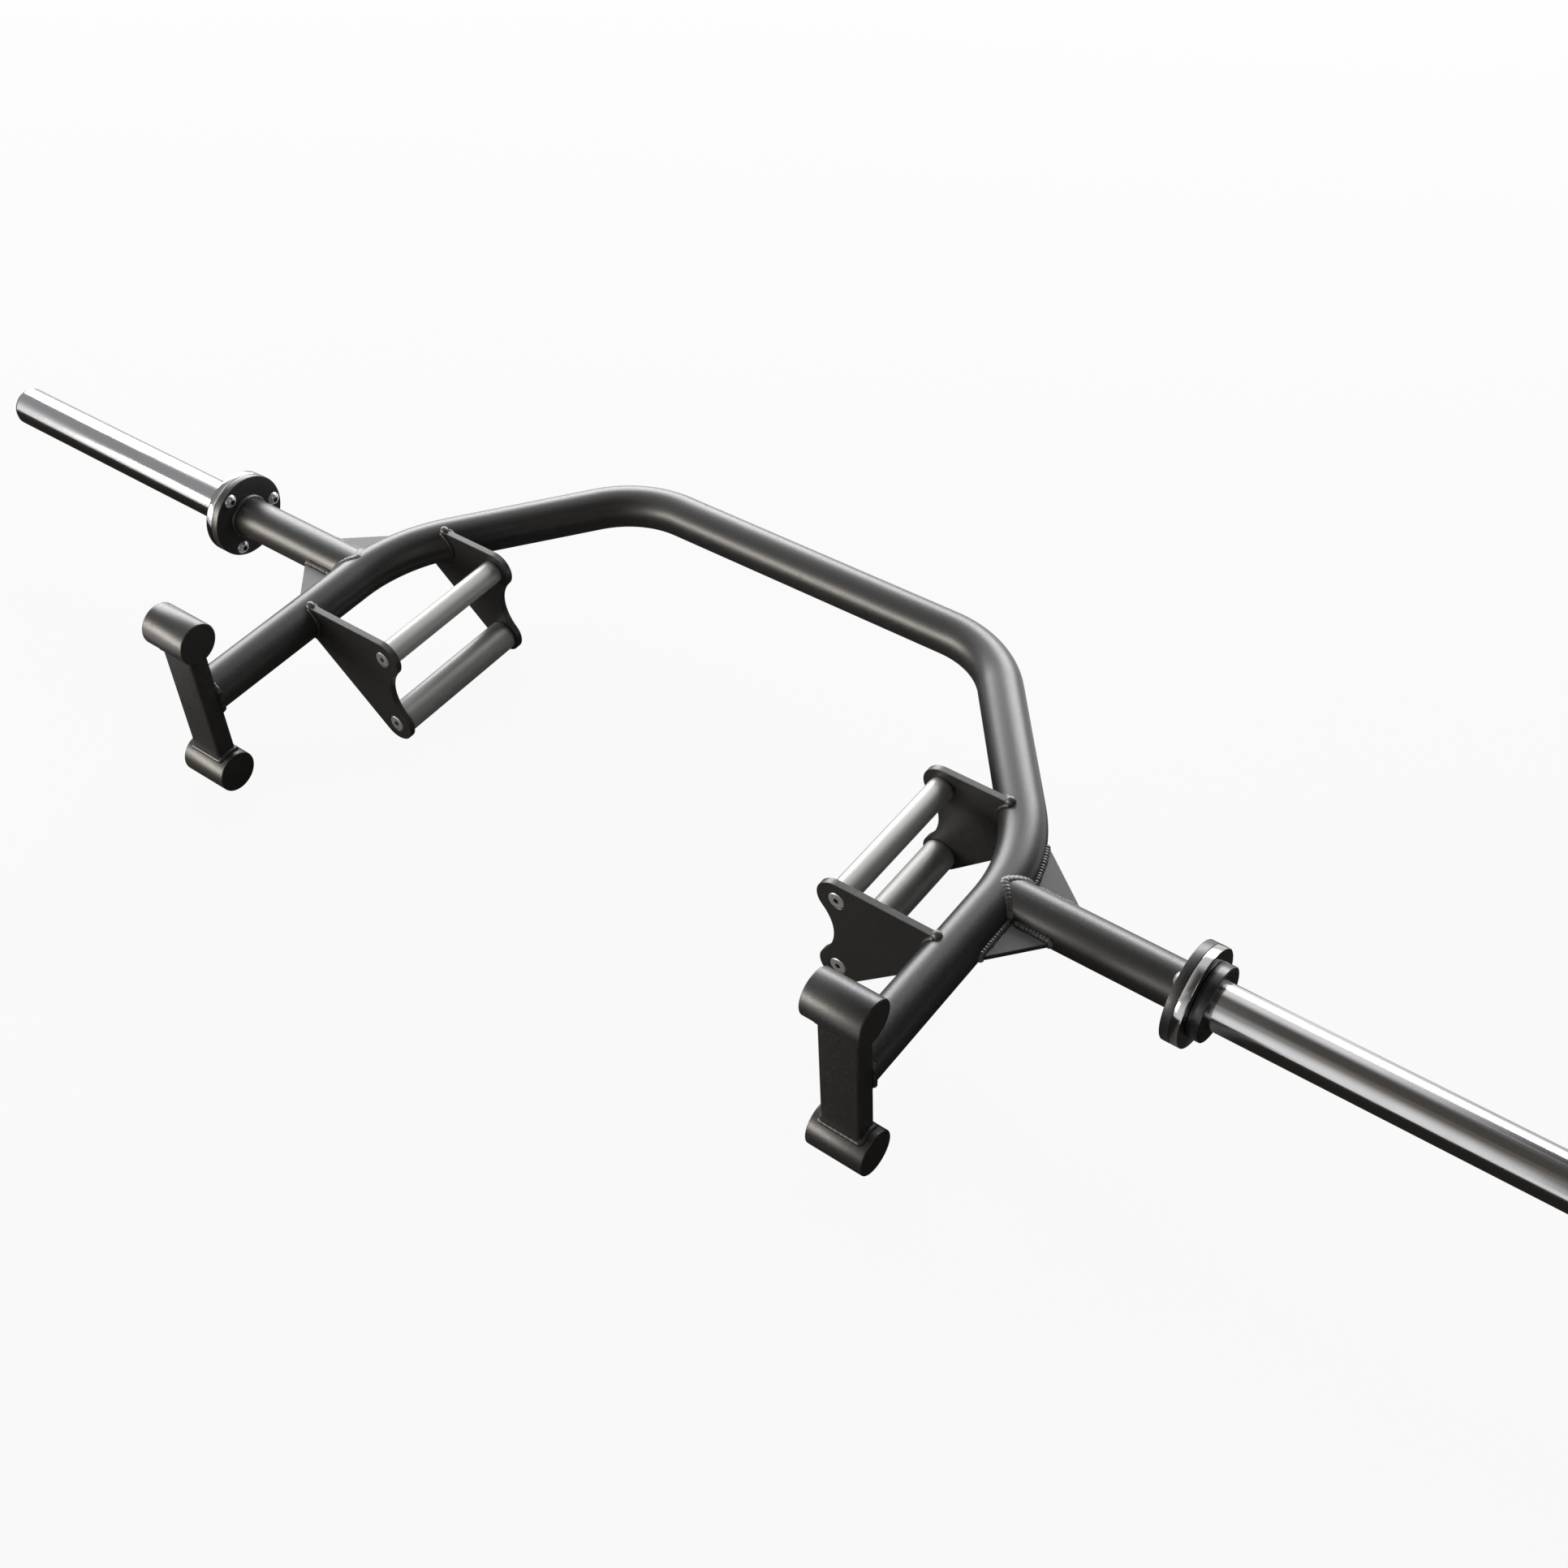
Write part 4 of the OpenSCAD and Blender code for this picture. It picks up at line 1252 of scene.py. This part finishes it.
class BAR_OT_inner_parts(Operator):
    """Finish the turned parts inside the sleeves and grips"""
    bl_idname = "bar.inner_parts"
    bl_label = "Inner Parts"

    def execute(self, context):
        finishes = {
            "spindle": "Ground spindle",
            "inner_thrust_washer": "Sintered bronze",
            "outer_thrust_washer": "Sintered bronze",
            "inner_bush": "Sintered bronze",
            "outer_bush": "Sintered bronze",
            "retaining_ring": "Spring steel",
            "lower_grip_plugs": "Plug steel",
        }
        for side in SIDES:
            for part, material in finishes.items():
                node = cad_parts[f"{side}_{part}"]
                node.data.materials.clear()
                node.data.materials.append(bpy.data.materials[material])
        return {"FINISHED"}


def card(name, centre, normal, width, height, material):
    """A flat card of the stage, which faces along normal."""
    bm = bmesh.new()
    bm.loops.layers.uv.new("Card")
    bmesh.ops.create_grid(bm, x_segments=1, y_segments=1, size=0.5, calc_uvs=True)
    bmesh.ops.scale(bm, vec=(width, height, 1), verts=bm.verts)
    turn = Vector(normal).to_track_quat("Z", "Y").to_matrix().to_4x4()
    bmesh.ops.transform(bm, matrix=Matrix.Translation(centre) @ turn, verts=bm.verts)
    flat = new_object(bm, name)
    flat.data.materials.append(material)
    flat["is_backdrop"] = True
    return flat


def card_material(name, tint, solid):
    """A glowing card that fades out from a solid middle to its edges."""
    material, nodes = material_nodes(name)
    parts = nodes.add(
        "ShaderNodeSeparateXYZ", {0: nodes.add("ShaderNodeUVMap").outputs[0]}).outputs
    across, along = (
        nodes.maths("ABSOLUTE", nodes.maths("SUBTRACT", parts[axis], 0.5)) for axis in "XY")
    edge = nodes.maths("MULTIPLY", nodes.maths("MAXIMUM", across, along), 2.0)
    fade = nodes.ranged(edge, {"From Min": solid}, interpolation_type="SMOOTHSTEP")
    glow = nodes.add("ShaderNodeEmission", {"Color": (*tint, 1)})
    clear = nodes.add("ShaderNodeBsdfTransparent")
    mix = nodes.add("ShaderNodeMixShader", {0: fade, 1: glow.outputs[0], 2: clear.outputs[0]})
    nodes.add("ShaderNodeOutputMaterial", {"Surface": mix.outputs[0]})
    return material


def softbox(name, centre, width, height, power, tint):
    """A rectangular soft lamp that points at the bar's middle and isn't seen itself."""
    light = bpy.data.lights.new(name, "AREA")
    light.color = tint
    light.shape = "RECTANGLE"
    light.size = width
    light.size_y = height
    light.energy = power
    lamp = bpy.data.objects.new(name, light)
    lamp.location = centre
    lamp.rotation_euler = (Vector() - Vector(centre)).to_track_quat("-Z", "Y").to_euler()
    lamp.visible_camera = False
    bpy.context.scene.collection.objects.link(lamp)


class BAR_OT_stage(Operator):
    """Set up the camera, the pale floor and backdrop, the soft lights and the dark cards"""
    bl_idname = "bar.stage"
    bl_label = "Stage"

    def add_camera(self, scene):
        """The camera that was fitted to the photo."""
        data = bpy.data.cameras.new("photo_camera")
        data.sensor_width = 36
        data.sensor_fit = "HORIZONTAL"
        data.lens = 47.24
        data.shift_x = 0.0846
        data.shift_y = -0.0362
        data.clip_end = 100
        camera = bpy.data.objects.new("photo_camera", data)
        place = Matrix.Translation((1.13013, -1.20787, 1.69052))
        turn = Quaternion((0.87232, 0.355115, 0.165385, 0.292573))
        camera.matrix_world = place @ turn.to_matrix().to_4x4()
        scene.collection.objects.link(camera)
        scene.camera = camera

    def add_ground(self, settings):
        """A floor that looks nearly as pale as its colour, and keeps a little light and shadow."""
        material, nodes = material_nodes("Pale floor")
        tint = (*settings.ground, 1)
        paint = nodes.add("ShaderNodeBsdfDiffuse", {"Color": tint})
        glow = nodes.add("ShaderNodeEmission", {"Color": tint})
        glow_share = 0.975
        part = nodes.maths("MULTIPLY", nodes.looking(), glow_share)
        mix = nodes.add("ShaderNodeMixShader", {0: part, 1: paint.outputs[0], 2: glow.outputs[0]})
        nodes.add("ShaderNodeOutputMaterial", {"Surface": mix.outputs[0]})
        card("floor", (0, 0, -0.0005), (0, 0, 1), 30, 30, material)

    def add_world(self, scene, settings):
        """A backdrop that is seen at full strength, but lights the object by the ambient share."""
        scene.world = bpy.data.worlds.new("studio")
        scene.world.use_nodes = True
        nodes = Nodes(scene.world.node_tree)
        level = nodes.ranged(nodes.looking(), {"To Min": settings.ambient, "To Max": 1.0})
        background = nodes.add("ShaderNodeBackground", {"Color": (*settings.ground, 1), "Strength": level})
        nodes.add("ShaderNodeOutputWorld", {"Surface": background.outputs[0]})

    def add_cards(self, settings):
        """Cards that only reflections see, in place of the dark floor and room round the real bar."""
        up, down = (0, 0, 1), (0, 0, -1)
        over = card_material("Dark card over", settings.card, solid=0.35)
        under = card_material("Dark card under", scaled(settings.card, 0.25), solid=0.88)
        aside = card_material("Dark card aside", scaled(settings.card, 0.5), solid=0.6)
        front = card_material("Grey card in front", scaled(settings.card, 1.8), solid=0.0)
        left = card_material("Grey card on the left", scaled(settings.cool, 0.36), solid=0.4)
        behind = card_material("Grey card behind", scaled(settings.cool, 0.4), solid=0.5)
        # Name, centre, the way it faces, width, height and material
        for values in (
                ("card_under_frame", (0, -0.195, -0.0003), up, 1.4, 1.11, under),
                ("card_under_right_sleeve", (1.775, -0.12, -0.0002), up, 2.45, 0.68, under),
                ("card_under_left_sleeve", (-1.775, -0.22, -0.0002), up, 2.45, 0.56, under),
                ("card_behind_right_sleeve", (1.3, 0.62, -0.0001), up, 1.3, 0.76, behind),
                ("card_behind_left_sleeve", (-1.65, 0.62, -0.0001), up, 1.9, 0.76, behind),
                ("card_over", (1.3, -0.7, 2.6), down, 5.4, 4.0, over),
                ("card_over_right", (2.1, 1.6, 2.6), down, 3.2, 3.4, aside),
                ("card_right", (3.0, 1.6, 1.4), (-1, -0.5, 0), 5.0, 3.6, aside),
                ("card_camera", (2.6, -2.6, 1.3), (-1, 1, 0), 4.6, 3.6, aside),
                ("card_front", (1.0, -4.2, 4.5), (0, 1, 0), 9.0, 8.6, front),
                ("card_left", (-4.6, -1.2, 3.7), (1, 0, 0), 7.4, 6.6, left)):
            flag = card(*values)
            flag.visible_camera = False
            flag.visible_diffuse = False
            flag.visible_transmission = False
            flag.visible_shadow = False

    def execute(self, context):
        scene = context.scene
        settings = scene.bar_studio
        scene.view_settings.view_transform = "Standard"
        self.add_camera(scene)
        self.add_ground(settings)
        self.add_world(scene, settings)
        # Name, centre, width, height, power in watts and colour
        softbox("back_left_softbox", (-2.7, 2.3, 1.3), 3.8, 2.0, 180, settings.cool)
        softbox("back_softbox", (0.0, 3.2, 1.6), 2.2, 1.9, 110, settings.cool)
        softbox("front_left_softbox", (-2.0, -2.8, 0.75), 3.0, 1.2, 120, settings.warm)
        self.add_cards(settings)
        return {"FINISHED"}


PIECES = (
    BAR_OT_finishes, BAR_OT_frame_tube, BAR_OT_arms, BAR_OT_gussets, BAR_OT_handle_plates, BAR_OT_grips,
    BAR_OT_grip_screws, BAR_OT_feet, BAR_OT_flanges, BAR_OT_flange_screws, BAR_OT_sleeves, BAR_OT_welds,
    BAR_OT_inner_parts, BAR_OT_stage,
)


class VIEW3D_PT_trap_bar(Panel):
    """The trap bar's pieces, in the order they are built"""
    bl_label = "Trap Bar"
    bl_space_type = "VIEW_3D"
    bl_region_type = "UI"
    bl_category = "Trap Bar"

    def draw(self, context):
        layout = self.layout
        for piece in PIECES:
            layout.operator(piece.bl_idname)
        for group in (context.scene.bar_sizes, context.scene.bar_finishes, context.scene.bar_studio):
            box = layout.box()
            for name in group.__annotations__:
                box.prop(group, name)


CLASSES = (BarSizes, BarFinishes, StudioSettings, *PIECES, VIEW3D_PT_trap_bar)


def register():
    for cls in CLASSES:
        bpy.utils.register_class(cls)
    bpy.types.Scene.bar_sizes = PointerProperty(type=BarSizes)
    bpy.types.Scene.bar_finishes = PointerProperty(type=BarFinishes)
    bpy.types.Scene.bar_studio = PointerProperty(type=StudioSettings)


def unregister():
    del bpy.types.Scene.bar_studio
    del bpy.types.Scene.bar_finishes
    del bpy.types.Scene.bar_sizes
    for cls in reversed(CLASSES):
        bpy.utils.unregister_class(cls)


def corners(box):
    return [list(corner) for corner in box]


def main():
    register()
    bpy.ops.bar.finishes()
    bpy.ops.bar.frame_tube()
    bpy.ops.bar.arms()
    bpy.ops.bar.gussets()
    bpy.ops.bar.handle_plates()
    bpy.ops.bar.grips()
    bpy.ops.bar.grip_screws()
    bpy.ops.bar.feet()
    bpy.ops.bar.flanges()
    bpy.ops.bar.flange_screws()
    bpy.ops.bar.sleeves()
    bpy.ops.bar.welds()
    bpy.ops.bar.inner_parts()
    bpy.ops.bar.stage()
    {"cad": corners(CAD_BOX), "visual": corners(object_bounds())}


if __name__ == "__main__":
    main()
